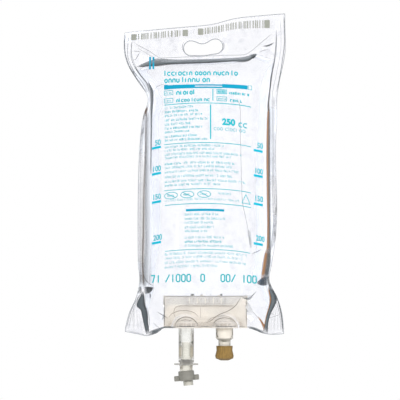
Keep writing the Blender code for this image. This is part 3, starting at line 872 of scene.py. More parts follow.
def onSheet(x, z, lift, side=-1):  # a place in mm to a point just over the sheet
    tree = trees[side]
    side = side if side in (-1, 1) else -1
    start = Vector((x * mm, side * rayStart, z * mm))
    hit = tree.ray_cast(start, Vector((0, -side, 0)))[0]
    if hit is None:
        hit = tree.find_nearest(Vector((x * mm, 0, z * mm)))[0]
    return Vector((hit.x, hit.y + side * lift * mm, hit.z))


def along(points, count):  # smooth line through points, evenly spaced
    points = np.array(points, float)
    run = np.concatenate([[0], np.cumsum(np.hypot(*np.diff(points, axis=0).T))])
    place = np.linspace(0, run[-1], count)
    stations = [(r, *p) for r, p in zip(run, points)]
    return np.stack([through(stations, place, 1), through(stations, place, 2)], axis=1)


def lengthOf(points):
    return np.hypot(*np.diff(np.array(points, float), axis=0).T).sum()


# one strip of painted shade, for folded film and for dark refraction at the filling's edges, is a
# grid between two edge paths, laid on the sheet it belongs to

paintedStrip = {
    "pitch": 1.0,  # mm along a strip from one row of faces to the next
    "lift": 0.05,  # mm over the sheet
    "lineLift": 0.06,
    "dim": 0.62,  # colours are written as they look, and film in the light shows them brighter
    "thick": 0.35,  # covers above this close further
    "fadeRows": 4,
    "ends": 0.3,  # share of a line's width in which it fades, at each side
    "roughness": 0.22,
}
strips = []


def rowCount(points):
    return max(6, int(lengthOf(points) / paintedStrip["pitch"]))


# paints a band of shade, or in a few places light, onto a sheet or part
def addPaintedBand(sideA, sideB, tones, columns=7, lift=paintedStrip["lift"], side=-1, grow=(1, 1), both=False):
    # tones: stations of (share across, colour, cover), grow: cover at the start and at the end
    if both:  # the back film gets the same painted shade
        addPaintedBand(sideA, sideB, tones, columns, lift, 1, grow)
    rows = rowCount(sideA)
    a = along(sideA, rows)
    b = along(sideB, rows)
    shares = np.linspace(0, 1, columns)
    x = a[:, :1] * (1 - shares) + b[:, :1] * shares
    z = a[:, 1:] * (1 - shares) + b[:, 1:] * shares
    laid = np.array([[onSheet(x[i, j], z[i, j], lift, side) for j in range(columns)]
                     for i in range(rows)])
    stops = [t[0] for t in tones]
    parts = np.array([rgb(t[1]) + (t[2],) for t in tones])
    parts[:, :3] *= paintedStrip["dim"]
    cover = parts[:, 3]
    parts[:, 3] = np.where(cover > paintedStrip["thick"], 1 - (1 - cover) / 2, cover)
    shade = np.stack([np.interp(shares, stops, parts[:, k]) for k in range(4)], axis=1)
    shade = np.repeat(shade[None], rows, axis=0)
    ends = np.minimum(np.arange(rows), rows - 1 - np.arange(rows))
    fade = np.clip(ends / min(paintedStrip["fadeRows"], rows / 4), 0, 1)
    shade[:, :, 3] *= (fade * np.linspace(grow[0], grow[1], rows))[:, None]
    strip = gridMesh("strip", laid[:, :, 0], laid[:, :, 1], laid[:, :, 2], shade)
    faceAlongY(strip, side if side in (-1, 1) else -1)
    strips.append(strip)


def addPaintedLine(points, width, colour, cover, lift=paintedStrip["lineLift"], side=-1):
    # painted shade of a thin crease or moulded edge: a narrow band that fades at both its sides
    middle = along(points, rowCount(points))
    run = np.gradient(middle, axis=0)
    run /= np.hypot(run[:, 0], run[:, 1])[:, None] + 1e-9
    out = np.stack([-run[:, 1], run[:, 0]], axis=1) * width / 2
    ends = paintedStrip["ends"]
    addPaintedBand(middle - out, middle + out,
            ((0, colour, 0.0), (ends, colour, cover), (1 - ends, colour, cover), (1, colour, 0.0)),
            columns=5, lift=lift, side=side)


def joinPieces(pieces, name):  # leaves the joined piece active, with its new name
    selectOnly(pieces[0])
    for piece in pieces:
        piece.select_set(True)
    bpy.ops.object.join()
    return ownMesh(name)


def paintedShadeMaterial():  # painted shade for film folds and dark refraction: what it covers goes grey
    made, tree = newMaterial("painted film shade")
    tone = addNode(tree, "ShaderNodeVertexColor", layer_name="tone")
    body = addNode(tree, "ShaderNodeBsdfPrincipled",
                   {"Roughness": paintedStrip["roughness"], "IOR": plasticIndex},
                   {"Base Color": tone.outputs["Color"]})
    clear = addNode(tree, "ShaderNodeBsdfTransparent", {"Color": (1, 1, 1, 1)})
    mixed = addNode(tree, "ShaderNodeMixShader",
                    links={0: tone.outputs["Alpha"], 1: clear.outputs[0], 2: body.outputs[0]})
    addNode(tree, "ShaderNodeOutputMaterial", links={"Surface": mixed.outputs[0]})
    return made


dark = "#4A5054"  # painted shade of the deepest folds
slate = "#60686D"
line = "#7C8185"  # painted shade of a plain crease
soft = "#A4A8AC"  # painted shade of a faint crease
headerShade = [(0, "#9A9FA3", 0.04), (0.3, "#9A9FA3", 0.07), (0.5, "#9A9FA3", 0.04),
        (0.8, "#9A9FA3", 0.07), (1, "#9A9FA3", 0.03)]
# covers of fine painted shade streaks across the ears
fan = (0.2, 0.02, 0.16, 0.03, 0.08, 0.22, 0.02, 0.06, 0.18, 0.02, 0.14, 0.02, 0.12)
streaks = [(k / 12, "#9A9FA3", cover) for k, cover in enumerate(fan)]

# each row: one side, the other side, tones from one to the other, how it is laid
paintedShadeBands = (
    # painted shade along the top edge of the filling, whose steep wall looks dark through the film
    ([(-44.0, -12.6), (-39.4, -10.5), (-34.9, -8.6), (-29.6, -7.2), (-21.8, -7.7), (-8.7, -7.8),
      (5.7, -7.5), (18.8, -6.8), (26.7, -6.1), (31.2, -5.0), (35.2, -3.9)],
     [(-43.8, -13.0), (-39.4, -13.0), (-34.9, -12.8), (-29.6, -13.0), (-21.8, -11.9),
      (-8.7, -11.3), (1.1, -11.0), (8.3, -10.6), (18.8, -9.8), (29.3, -9.6), (35.6, -4.8)],
     ((0, "#A9AEB2", 0.15), (0.12, "#9BA1A6", 0.75), (0.5, "#8A9094", 0.85),
      (0.8, "#5C6367", 0.95), (0.93, "#4E4B4C", 0.95), (1, "#5A5050", 0.1)),
     {"columns": 9, "both": True}),
    ([(29.9, -5.0), (32.6, -4.3), (34.5, -3.8)],
     [(30.6, -8.2), (33.5, -7.2), (35.6, -4.7)],
     ((0, dark, 0.3), (0.3, dark, 0.9), (1, dark, 0.7)), {}),
    # painted shade down the left side of the filling: a dark line at its edge, softer grey to both
    # sides of it
    ([(-36.5, -20.9), (-35.5, -28.1), (-35.1, -32.7), (-34.9, -38.6), (-34.7, -49.1),
      (-34.7, -60.9), (-34.7, -83.8)],
     [(-36.2, -21.6), (-33.2, -27.2), (-32.5, -30.1), (-32.9, -38.6), (-33.3, -49.1),
      (-33.5, -60.9), (-33.9, -83.8)],
     ((0, "#A6ABB0", 0.25), (0.45, "#7A8085", 0.8), (0.8, "#565E63", 0.9), (1, dark, 0.1)), {}),
    ([(-36.4, -36.0), (-38.0, -43.9), (-38.8, -51.7), (-38.9, -67.4), (-40.0, -93.6),
      (-40.4, -119.8), (-40.9, -140.7), (-40.2, -157.7)],
     [(-36.0, -37.3), (-36.4, -43.9), (-36.7, -51.7), (-36.8, -67.4), (-37.6, -93.6),
      (-38.0, -119.8), (-38.4, -140.7), (-38.0, -157.7)],
     ((0, "#C4C0BC", 0.0), (0.2, "#A8A29C", 0.3), (0.36, "#7A7068", 0.7), (0.52, "#564A42", 0.97),
      (0.68, "#7A7068", 0.6), (0.84, "#A8A29C", 0.25), (1, "#C4C0BC", 0.0)),
     {"columns": 13, "grow": (0.5, 1)}),
    ([(-37.0, -42.5), (-37.2, -51.7), (-37.5, -67.4), (-38.1, -93.6), (-38.4, -119.8),
      (-38.8, -140.7), (-38.5, -157.1)],
     [(-34.9, -42.5), (-34.7, -51.7), (-34.7, -67.4), (-34.3, -93.6), (-33.8, -119.8),
      (-33.8, -140.7), (-33.7, -155.1)],
     ((0, "#A4A8AC", 0.35), (0.3, "#A8ACB0", 0.28), (0.6, "#B0B4B8", 0.17), (1, "#C8CCD0", 0.02)),
     {"lift": 0.07, "grow": (1.0, 1.5)}),
    ([(-40.1, -37.3), (-41.8, -50.4), (-42.3, -67.4), (-42.5, -93.6), (-42.5, -119.8),
      (-42.3, -140.7), (-41.8, -157.7)],
     [(-38.7, -39.9), (-38.9, -54.3), (-39.2, -67.4), (-39.6, -93.6), (-40.0, -119.8),
      (-40.5, -140.7), (-40.1, -157.7)],
     ((0, "#A4A4A8", 0.1), (0.25, "#A4A4A8", 0.22), (0.5, "#98989C", 0.32),
      (0.75, "#A0A0A4", 0.28), (1, "#908E8C", 0.26)),
     {"columns": 9, "lift": 0.04, "grow": (0.2, 1.5)}),
    # painted shade down the right side of the filling, with painted orange refraction at its inner
    # side
    ([(45.6, -9.8), (44.3, -19.0), (43.2, -28.1), (42.1, -36.0), (41.6, -43.9)],
     [(46.3, -9.8), (45.3, -19.0), (44.2, -28.1), (43.4, -36.0), (43.3, -43.9)],
     ((0, "#8C8480", 0.1), (0.4, "#5C5450", 0.85), (0.8, "#6A6462", 0.8), (1, "#A4A8AC", 0.1)),
     {}),
    ([(42.9, -38.6), (41.8, -43.9), (41.3, -54.3), (41.1, -67.4), (41.3, -93.6), (41.6, -116.5),
      (41.1, -135.5)],
     [(43.7, -38.6), (43.9, -43.9), (44.1, -54.3), (44.2, -67.4), (44.3, -93.6), (44.3, -116.5),
      (44.5, -135.5)],
     ((0, "#D8A878", 0.0), (0.14, "#C98E50", 0.5), (0.36, "#A37550", 0.8),
      (0.54, "#7C6A5E", 0.87), (0.74, "#74767C", 0.87), (0.9, "#9CA0A6", 0.34),
      (1, "#AEB2B8", 0.1)), {"columns": 15}),
    ([(40.7, -131.6), (39.6, -136.8), (38.7, -142.0), (37.9, -147.9), (37.4, -152.5)],
     [(44.3, -131.6), (44.5, -136.8), (44.2, -142.0), (43.4, -147.3), (42.5, -152.5)],
     ((0, "#C98E50", 0.1), (0.14, "#C08850", 0.85), (0.36, "#A8764E", 0.8),
      (0.5, "#6F6A68", 0.85), (0.8, "#5C6367", 0.9), (1, "#70767A", 0.3)), {"columns": 13}),
    ([(44.5, -32.1), (44.5, -54.3), (44.6, -80.5), (45.1, -100.1), (45.8, -116.5), (44.7, -126.3),
      (43.8, -134.2)],
     [(47.9, -32.1), (47.4, -54.3), (47.6, -80.5), (48.5, -100.1), (48.9, -116.5), (47.6, -125.0),
      (44.7, -134.2)],
     ((0, "#B0B0B4", 0.06), (0.3, "#A8A8AC", 0.14), (0.55, "#9C9CA0", 0.34),
      (0.7, "#A0A0A4", 0.22), (1, "#B0B0B4", 0.0)),
     {"columns": 9, "lift": 0.04, "grow": (0.5, 1.0)}),
    # painted shade, with orange and blue tints, in the pinches at the bottom corners, where the
    # gathered film stands in folds
    ([(-39.8, -159.7), (-41.5, -163.6), (-43.4, -167.6), (-43.4, -169.9), (-41.0, -172.0),
      (-40.0, -176.1), (-38.7, -182.0), (-37.3, -188.5)],
     [(-38.9, -159.7), (-38.3, -164.3), (-37.9, -168.2), (-36.7, -171.9), (-36.0, -175.7),
      (-35.9, -180.2), (-35.0, -187.5)],
     ((0, "#666D72", 0.75), (0.12, "#50585D", 0.96), (0.6, "#646D73", 0.95),
      (0.9, "#3C4246", 0.97), (1, dark, 0.3)), {"columns": 9, "both": True}),
    ([(-39.0, -157.1), (-36.8, -156.8), (-34.2, -157.0), (-31.7, -157.1)],
     [(-38.9, -161.3), (-36.8, -161.5), (-34.5, -160.7), (-31.8, -157.5)],
     ((0, "#3D4247", 0.6), (0.2, "#3A3D42", 0.95), (0.8, "#50565B", 0.9), (1, dark, 0.4)),
     {"columns": 9, "both": True}),
    ([(-35.1, -161.0), (-35.0, -163.0), (-34.9, -164.9)],
     [(-34.3, -161.0), (-34.2, -163.0), (-34.7, -164.9)],
     ((0, slate, 0.6), (0.5, "#4A4E52", 0.85), (1, slate, 0.5)), {}),
    ([(42.4, -155.8), (42.6, -158.6), (43.6, -165.6), (42.5, -170.8), (41.2, -175.4),
      (40.1, -180.6), (38.8, -185.9)],
     [(44.1, -155.8), (46.7, -160.6), (48.2, -165.3), (46.6, -169.8), (44.1, -174.8),
      (42.6, -180.6), (42.2, -188.5)],
     ((0, "#C08650", 0.5), (0.1, "#C08650", 0.9), (0.2, "#4E565B", 0.95), (0.45, "#7C868C", 0.85),
      (0.62, "#6C757B", 0.9), (0.85, "#4A5257", 0.95), (1, dark, 0.5)),
     {"columns": 13, "both": True}),
    ([(35.4, -175.7), (37.9, -178.4), (40.3, -182.5), (40.7, -185.2)],
     [(35.0, -176.6), (37.0, -179.1), (38.7, -183.0), (39.1, -185.2)],
     ((0, "#8A6A54", 0.9), (0.4, "#BE7C44", 0.95), (0.8, "#A0724E", 0.9), (1, "#C8B09C", 0.3)), {}),
    ([(34.5, -154.5), (37.1, -152.1), (39.4, -150.5), (42.8, -150.4)],
     [(34.9, -154.9), (37.5, -156.0), (39.8, -156.2), (42.9, -155.5)],
     ((0, "#5A7388", 0.6), (0.25, "#2E4357", 0.95), (0.7, "#3B4650", 0.95), (1, "#59656E", 0.5)),
     {"columns": 9, "both": True}),
    ([(-37.5, -186.8), (-34.2, -185.4), (-30.9, -184.3), (-28.3, -183.5), (-25.0, -182.7),
      (-21.8, -182.7), (-17.8, -182.9)],
     [(-36.6, -188.8), (-32.9, -187.8), (-29.6, -186.3), (-27.7, -185.0), (-25.0, -183.8),
      (-21.8, -183.8), (-17.8, -183.6)],
     ((0, slate, 0.2), (0.3, "#6E767B", 0.85), (0.9, slate, 0.9), (1, dark, 0.4)), {}),
    ([(28.0, -182.5), (31.9, -182.9), (35.2, -183.9), (37.8, -185.0), (40.8, -185.0)],
     [(28.0, -183.7), (31.9, -184.3), (35.2, -185.7), (38.1, -187.4), (42.0, -188.6)],
     ((0, slate, 0.2), (0.4, "#6E767B", 0.85), (0.9, slate, 0.9), (1, dark, 0.4)), {}),
    # painted faint shade in soft streaks over the header film
    ([(-48.9, 8.5), (-31.6, 9.5), (-13.9, 11.3)],
     [(-47.6, -3.3), (-29.6, -5.9), (-13.9, -5.6)],
     headerShade, {"lift": 0.03}),
    ([(-13.9, 11.3), (-0.2, 12.0), (14.2, 13.4)],
     [(-13.9, 5.5), (-0.2, 5.5), (14.2, 6.2)],
     headerShade, {"lift": 0.03}),
    ([(14.2, 13.4), (30.6, 17.3), (51.5, 20.0)],
     [(14.2, -4.6), (28.0, -4.2), (47.6, 4.6)],
     headerShade, {"lift": 0.03}),
    # painted shade in fine streaks in the ears
    ([(-40.5, -161.0), (-43.5, -165.2), (-46.9, -171.5), (-49.3, -178.7), (-50.8, -185.2)],
     [(-39.8, -161.0), (-42.5, -165.6), (-43.6, -169.5), (-40.5, -176.7), (-37.7, -187.2)],
     streaks, {"columns": 25, "lift": 0.04}),
    ([(47.0, -161.3), (48.3, -165.3), (47.0, -169.8), (44.6, -174.8), (43.0, -180.6),
      (42.6, -187.8)],
     [(47.2, -160.7), (49.3, -165.6), (50.9, -173.4), (51.7, -180.0), (51.9, -186.5)],
     streaks, {"columns": 25, "lift": 0.04}),
    # painted shade and glints on the knot of gathered film at each end of the waist
    ([(-43.6, -156.4), (-43.9, -159.0), (-42.5, -161.7)],
     [(-40.4, -156.4), (-40.2, -159.0), (-40.5, -161.7)],
     ((0, "#A4A8AC", 0.2), (0.3, "#8A8F93", 0.7), (0.5, "#C8CCD0", 0.4), (0.75, "#7C8185", 0.75),
      (1, "#A4A8AC", 0.3)), {"columns": 9, "lift": 0.07}),
    ([(41.8, -149.9), (42.5, -153.2), (43.6, -157.1)],
     [(44.2, -149.2), (44.7, -153.2), (45.9, -157.1)],
     ((0, "#6C7276", 0.7), (0.3, "#D8DADC", 0.6), (0.5, "#4E5458", 0.9), (0.75, "#B0B2B0", 0.6),
      (1, "#5C6266", 0.8)), {"columns": 9, "lift": 0.07}),
    # painted shade in the pinch at the header's right end, and a faint painted reflection down the
    # front
    ([(38.6, 0.9), (42.4, 1.7), (46.7, 3.5)],
     [(38.7, 0.5), (42.4, 0.5), (46.8, 2.7)],
     ((0, line, 0.4), (0.6, "#54595D", 0.9), (1, dark, 0.5)), {}),
    ([(28.6, -119.8), (29.5, -126.3), (30.3, -132.2)],
     [(30.7, -119.8), (31.5, -126.3), (32.0, -132.2)],
     ((0, "#BCC4CA", 0.3), (0.5, "#B4BEC6", 0.5), (1, "#BCC4CA", 0.2)), {}),
)
# painted shade of creases, welds and outlines; each row: places along it, width in mm, colour,
# cover
creaseShadeLines = (
    # header weld
    ([(-45.7, 3.9), (-43.4, 1.8), (-35.2, -2.6), (-29.3, -6.5), (-27.0, -6.9), (-6.7, -6.1),
      (14.1, -5.2), (27.4, -4.7), (31.6, -2.4), (38.3, 3.3), (45.0, 8.9)], 0.45, soft, 0.7),
    ([(-43.5, -0.3), (-36.8, -4.1), (-31.6, -7.4)], 0.35, soft, 0.5),
    ([(-46.4, 4.9), (-47.3, -2.6), (-46.7, -8.5), (-43.1, -15.7), (-36.8, -24.2), (-35.8, -31.0)],
     0.5, line, 0.75),
    ([(-48.9, 8.5), (-49.7, -2.6), (-48.9, -8.5), (-45.3, -15.8), (-39.4, -23.6), (-36.2, -29.5)],
     0.45, "#8A8F93", 0.7),
    ([(-44.9, -12.4), (-40.7, -18.6), (-37.2, -23.3), (-35.3, -28.1)], 0.6, "#7C8185", 0.7),
    ([(-37.2, -38.6), (-37.7, -41.9), (-37.3, -45.4)], 0.8, "#8A6A54", 0.8),
    ([(-46.8, -2.4), (-41.0, -2.7)], 0.4, line, 0.75),
    ([(-41.3, -2.9), (-43.4, -6.5), (-44.5, -8.1), (-46.6, -8.3)], 0.45, "#5E6468", 0.8),
    ([(36.5, -3.5), (39.1, -2.1), (43.3, -1.3)], 0.4, line, 0.7),
    ([(-12.2, 4.2), (-13.5, 1.7), (-13.4, -1.3), (-11.6, -3.9), (-8.3, -5.0)], 0.45, line, 0.8),
    ([(11.9, 4.6), (13.4, 2.4), (13.6, -0.3), (11.6, -3.3)], 0.45, line, 0.8),
    # sides
    ([(48.0, 9.2), (47.7, 2.0), (47.3, -3.3), (46.2, -11.0), (44.3, -20.9), (43.4, -30.8)],
     0.75, "#62686C", 0.8),
    ([(50.7, 17.7), (51.0, 2.0), (50.0, -7.2), (47.9, -17.7), (45.6, -29.5), (45.3, -47.8),
      (45.1, -67.4), (45.4, -93.6), (46.0, -114.5), (45.3, -123.7), (43.9, -134.2)],
     0.35, soft, 0.6),
    ([(46.4, -32.1), (46.3, -60.9), (46.0, -84.4), (46.7, -103.4)], 0.3, soft, 0.45),
    ([(-39.2, -39.9), (-40.6, -50.4), (-41.0, -67.4), (-41.3, -93.6), (-41.4, -119.8),
      (-41.3, -140.7), (-40.7, -156.4)], 0.45, soft, 0.3),
    ([(-36.4, -32.1), (-38.2, -41.2), (-39.7, -49.1)], 0.5, "#8A7468", 0.6),
    ([(-39.3, -140.7), (-39.0, -149.9), (-36.0, -154.2), (-31.8, -156.8)], 0.5, "#7A7068", 0.75),
    # ears
    ([(-39.4, -159.0), (-41.7, -163.0), (-45.3, -170.8), (-47.6, -178.7), (-49.0, -185.9)],
     0.35, soft, 0.5),
    ([(-42.1, -163.0), (-43.4, -166.9)], 0.6, line, 0.6),
    ([(-36.6, -189.2), (-40.7, -187.6), (-46.0, -186.3), (-50.6, -185.0)], 0.4, soft, 0.6),
    ([(47.0, -163.6), (49.6, -173.4), (50.6, -180.0), (50.6, -185.9)], 0.35, soft, 0.5),
    ([(42.6, -151.2), (44.6, -155.1), (47.0, -160.0), (48.9, -165.6), (50.6, -173.4),
      (51.5, -180.0), (51.8, -186.8)], 0.85, "#565C60", 0.9),
    ([(43.9, -155.1), (46.0, -158.4), (48.5, -164.3), (49.8, -168.9)], 0.5, "#7A8084", 0.8),
    ([(41.8, -170.8), (43.9, -173.7), (46.7, -175.7)], 0.4, soft, 0.6),
    ([(-40.1, -160.4), (-43.1, -164.5), (-46.4, -170.8), (-48.5, -177.4), (-50.2, -184.6)],
     0.5, "#8A8F93", 0.75),
    ([(-44.9, -167.9), (-45.5, -173.4), (-46.2, -180.0)], 0.4, soft, 0.55),
    ([(-35.8, -185.2), (-35.1, -180.0), (-35.6, -174.8), (-37.0, -169.5)], 0.4, "#9A9FA3", 0.6),
    ([(-33.0, -180.0), (-30.4, -182.6), (-28.1, -184.2)], 0.4, soft, 0.45),
    ([(42.6, -177.4), (46.3, -176.3), (49.8, -175.1)], 0.4, soft, 0.5),
    ([(43.0, -188.1), (47.0, -187.4), (51.5, -186.7)], 0.4, soft, 0.6),
    ([(28.5, -183.3), (31.9, -183.8), (35.8, -185.9), (40.8, -188.1)], 0.5, "#565C60", 0.85),
    ([(-36.2, -188.6), (-32.9, -187.8), (-27.7, -186.3), (-21.8, -184.3), (-17.8, -183.5)],
     0.5, "#565C60", 0.85),
    # painted shade along the outline of the film, where that outline is thickest
    ([(-51.0, 9.2), (-51.6, 3.3), (-51.4, -2.0), (-50.3, -7.2), (-47.3, -15.1), (-41.7, -22.9),
      (-37.2, -29.7)], 0.7, "#7C8286", 0.8),
    ([(52.8, 20.9), (53.2, 11.1), (53.2, 2.0), (52.2, -6.5), (50.0, -20.3), (48.0, -29.5)],
     0.7, "#7C8286", 0.8),
    ([(47.3, -54.3), (47.1, -74.0), (47.5, -93.6), (48.7, -113.2), (47.7, -122.4), (45.4, -131.6)],
     0.5, "#9A9EA2", 0.3),
    ([(-46.2, -10.5), (-42.7, -16.4), (-37.5, -22.9), (-34.6, -26.8)], 0.8, "#A2A6AA", 0.6),
    ([(31.9, -172.8), (34.5, -175.7), (36.2, -177.8)], 0.4, soft, 0.5),
    # painted shade of the film gathered over the block
    ([(24.9, -163.4), (23.0, -166.2), (21.2, -169.1), (16.6, -172.5), (9.9, -175.3),
      (4.9, -179.1), (1.1, -180.6)], 0.5, "#8A8078", 0.8),
    ([(24.9, -163.4), (27.1, -164.4), (29.3, -164.7), (32.0, -162.7), (34.9, -159.6)],
     0.7, "#5E6468", 0.9),
    ([(-30.1, -173.3), (-26.0, -175.7), (-22.8, -177.6)], 0.6, "#6E6A66", 0.7),
    ([(-22.8, -177.4), (-20.5, -174.5), (-15.9, -172.7), (-11.3, -172.4), (-6.1, -173.8),
      (-2.4, -177.4)], 0.45, "#94897C", 0.7),
    ([(-18.8, -182.6), (-16.9, -179.1), (-13.9, -177.1), (-10.6, -176.6), (-7.4, -177.5),
      (-4.5, -180.0), (-3.2, -182.9)], 0.6, "#6C675E", 0.85),
    ([(-15.9, -179.1), (-11.3, -178.5), (-6.7, -179.2)], 0.5, "#8A8478", 0.6),
    ([(1.8, -180.4), (5.1, -177.5), (11.0, -175.9), (16.8, -176.5), (21.4, -179.7)],
     0.4, "#9C9184", 0.7),
    ([(6.1, -182.6), (7.6, -179.7), (10.3, -177.8), (14.2, -177.2), (18.2, -177.9),
      (21.0, -180.0), (22.5, -182.9)], 0.5, "#7F786C", 0.75),
    # painted faint shade down the front
    ([(21.4, -33.4), (23.8, -38.6), (24.2, -54.3), (24.6, -74.0), (25.1, -93.6), (25.7, -102.8),
      (27.4, -111.0), (29.1, -119.3), (30.7, -130.9)], 0.45, "#A9A8B0", 0.5),
    ([(31.5, -135.5), (34.5, -134.3), (38.2, -132.4)], 0.55, line, 0.7),
    ([(-32.0, -29.5), (-30.9, -26.8), (-28.3, -25.3), (-25.0, -24.5)], 0.4, "#B4B8BC", 0.45),
)
for sideA, sideB, tones, laying in paintedShadeBands:
    addPaintedBand(sideA, sideB, tones, **laying)
for points, width, colour, cover in creaseShadeLines:
    addPaintedLine(points, width, colour, cover)
paintedShadeLook = paintedShadeMaterial()
finishPiece(joinPieces(strips, "filmPaintedShade"), paintedShadeLook, "bag", (), 60)
print("folds ready")

# painted shade and highlights along the moulded edges of the block and the ports, as fine lines on
# milky plastic

strips.clear()
# colour of a painted shade line along a moulded step
cast = "#A89C8A"
blockEdgeShade = (
    ([(-25.4, -183.0), (-25.4, -172.1), (-25.4, -163.9), (-24.5, -162.7)], 0.85, "#74726C", 0.9),
    ([(-24.5, -162.8), (-2.1, -162.6), (28.0, -162.6)], 0.55, "#8A8882", 0.8),
    ([(28.2, -163.2), (28.2, -183.0)], 0.6, "#968A78", 0.8),
    ([(-17.2, -177.8), (-18.9, -175.7), (-18.8, -171.5), (-16.5, -169.6), (-2.1, -169.5),
      (20.8, -169.5)], 0.4, cast, 0.75),
    ([(-1.7, -169.6), (-1.7, -178.3)], 0.3, "#C2B7A6", 0.7),
    ([(-25.4, -183.1), (-20.5, -183.3), (-17.8, -183.3)], 0.6, "#6F6B64", 0.8),
    ([(-18.1, -182.7), (-10.6, -182.9), (-3.7, -182.7)], 0.8, "#77726A", 0.85),
    ([(6.2, -182.7), (14.2, -182.9), (22.2, -182.7)], 0.8, "#77726A", 0.85),
    ([(-4.1, -183.3), (0.5, -183.0), (6.4, -183.3)], 0.6, "#625E57", 0.9),
    ([(22.1, -183.1), (28.0, -183.1)], 0.6, "#6F6B64", 0.8),
)
portEdgeShade = (
    ([(9.0, -184.4), (9.0, -188.8), (10.0, -190.6), (10.6, -191.8)], 0.9, "#84827A", 0.85),
    ([(19.1, -184.4), (19.1, -188.8), (18.0, -190.6), (17.5, -191.8)], 0.9, "#84827A", 0.85),
    ([(10.4, -192.2), (14.0, -192.4), (17.5, -192.2)], 0.9, "#86846F", 0.8),
    ([(10.6, -193.5), (10.6, -195.2)], 0.6, "#8C8A7C", 0.7),
    ([(17.5, -193.5), (17.5, -195.2)], 0.6, "#8C8A7C", 0.7),
)
ribs = (-6.45, -1.35, 3.89, 9.12, 14.23)  # their places along the block
# painted shade of the nubs along the block's top: place, reach to both sides, cover
nubShade = ((-7.11, 1.44, 0.9), (-1.09, 0.96, 0.3), (4.80, 0.72, 0.2), (11.74, 1.08, 0.8))
partPaintedBands = (
    # painted cool light on the upper strip of the block, behind the fluid
    ([(-25.8, -162.3), (1.1, -162.3), (28.4, -162.3)],
     [(-25.8, -169.3), (1.1, -169.3), (21.4, -169.3)],
     ((0, "#E0E8F0", 0.26), (0.8, "#E4ECF2", 0.22), (1, "#F0ECE6", 0.05)),
     {"side": "block", "lift": 0.04, "columns": 5}),
    # painted shade of the film folded over the block's right end
    ([(26.0, -162.3), (28.2, -162.1), (30.3, -162.6), (32.6, -161.8)],
     [(26.0, -164.7), (28.4, -165.7), (30.5, -165.5), (32.9, -163.0)],
     ((0, "#A8ACAE", 0.1), (0.4, "#9A9EA2", 0.35), (0.75, "#6E7478", 0.6), (1, "#A8ACAE", 0.2)),
     {"lift": 0.08}),
    ([(26.3, -165.3), (29.8, -167.9), (31.6, -170.8), (33.2, -174.4)],
     [(27.1, -167.6), (28.4, -170.2), (28.9, -172.1), (28.8, -175.0)],
     ((0, "#A8ACAE", 0.35), (0.5, "#B4B6B8", 0.3), (1, "#C4C0BA", 0.12)),
     {"lift": 0.07, "columns": 5}),
    # painted shade: the block's foot, warmer and darker towards its bottom edge
    ([(-25.7, -176.1), (1.1, -176.1), (28.4, -176.1)],
     [(-25.7, -183.3), (1.1, -183.3), (28.4, -183.3)],
     ((0, "#B09A7C", 0.0), (0.7, "#B09A7C", 0.26), (1, "#8E8068", 0.34)),
     {"side": "block", "lift": 0.04}),
    # painted shade on the walls of the tube, dark at both its sides
    ([(-16.3, -184.3), (-16.3, -193.7), (-16.3, -204.2)],
     [(-13.9, -184.3), (-13.9, -193.7), (-13.9, -204.2)],
     ((0, "#86867F", 0.9), (0.3, "#A2A29C", 0.75), (0.62, "#CACAC4", 0.5), (0.9, "#F0F0EC", 0.4),
      (1, "#FFFFFF", 0.2)), {"side": "tube", "columns": 11}),
    ([(-8.3, -184.3), (-8.3, -193.7), (-8.3, -204.2)],
     [(-6.2, -184.3), (-6.2, -193.7), (-6.2, -204.2)],
     ((0, "#FFFFFF", 0.2), (0.15, "#F0F0EC", 0.4), (0.42, "#C2BEB6", 0.6), (0.75, "#9A9892", 0.8),
      (1, "#86867F", 0.9)), {"side": "tube", "columns": 11}),
)
# painted shade in strips that stand in twos, left and right: outer and inner x, outer and inner
# heights, tones
pairedShadeBands = (
    # painted shade on the sleeve's wall in the tube, darker towards its sides
    (((-16.2, -13.9), (-8.4, -6.2)), (-194.4, -204.2), (-194.4, -204.2),
     ((0, "#B4AE9C", 0.8), (0.2, "#CCC5B2", 0.7), (0.65, "#D8D0BC", 0.6), (1, "#F4EEE4", 0.4)),
     {"side": "tube", "lift": 0.07, "columns": 9}),
    # the dark end of the sleeve
    (((-16.2, -14.3), (-6.2, -8.0)), (-192.0, -194.3), (-192.3, -194.0),
     ((0, "#686862", 0.9), (0.6, "#767670", 0.85), (1, "#8A8A84", 0.2)),
     {"side": "tube", "lift": 0.09, "columns": 5}),
    # painted shade at the sides of the sleeve's neck over the cap
    (((-15.7, -13.1), (-6.6, -9.1)), (-207.1, -211.8), (-207.1, -211.8),
     ((0, "#8E8A7C", 0.85), (0.5, "#B8B0A0", 0.6), (1, "#DCD4C6", 0.1)), {"side": "neck"}),
)
for points, width, colour, cover in blockEdgeShade:
    addPaintedLine(points, width, colour, cover, lift=0.08, side="block")
# painted shade of the ribs
for x in ribs:
    addPaintedLine([(x, -163.2), (x, -167.0)], 0.6, "#A8A6A2", 0.2, lift=0.1, side="block")
# a painted pale highlight along the block
addPaintedLine([(-8.0, -167.8), (3.1, -167.9), (15.5, -167.8)], 0.3, "#CBC6BB", 0.7, 0.1, "block")
for x, reach, share in nubShade:
    addPaintedBand([(x - reach, -161.4), (x + reach, -161.4)], [(x - reach, -162.7), (x + reach, -162.7)],
            ((0, "#6E7478", share * 0.3), (0.4, "#666C70", share), (1, "#8A8C8A", share * 0.6)),
            lift=0.08, columns=5)
for sideA, sideB, tones, laying in partPaintedBands:
    addPaintedBand(sideA, sideB, tones, **laying)
for places, outerZ, innerZ, tones, laying in pairedShadeBands:
    for outer, inner in places:
        addPaintedBand([(outer, z) for z in outerZ], [(inner, z) for z in innerZ], tones, **laying)
for points, width, colour, cover in portEdgeShade:
    addPaintedLine(points, width, colour, cover, side="port")
finishPiece(joinPieces(strips, "blockPaintedShade"), paintedShadeLook, "bag", (), 60)
print("block edges ready")

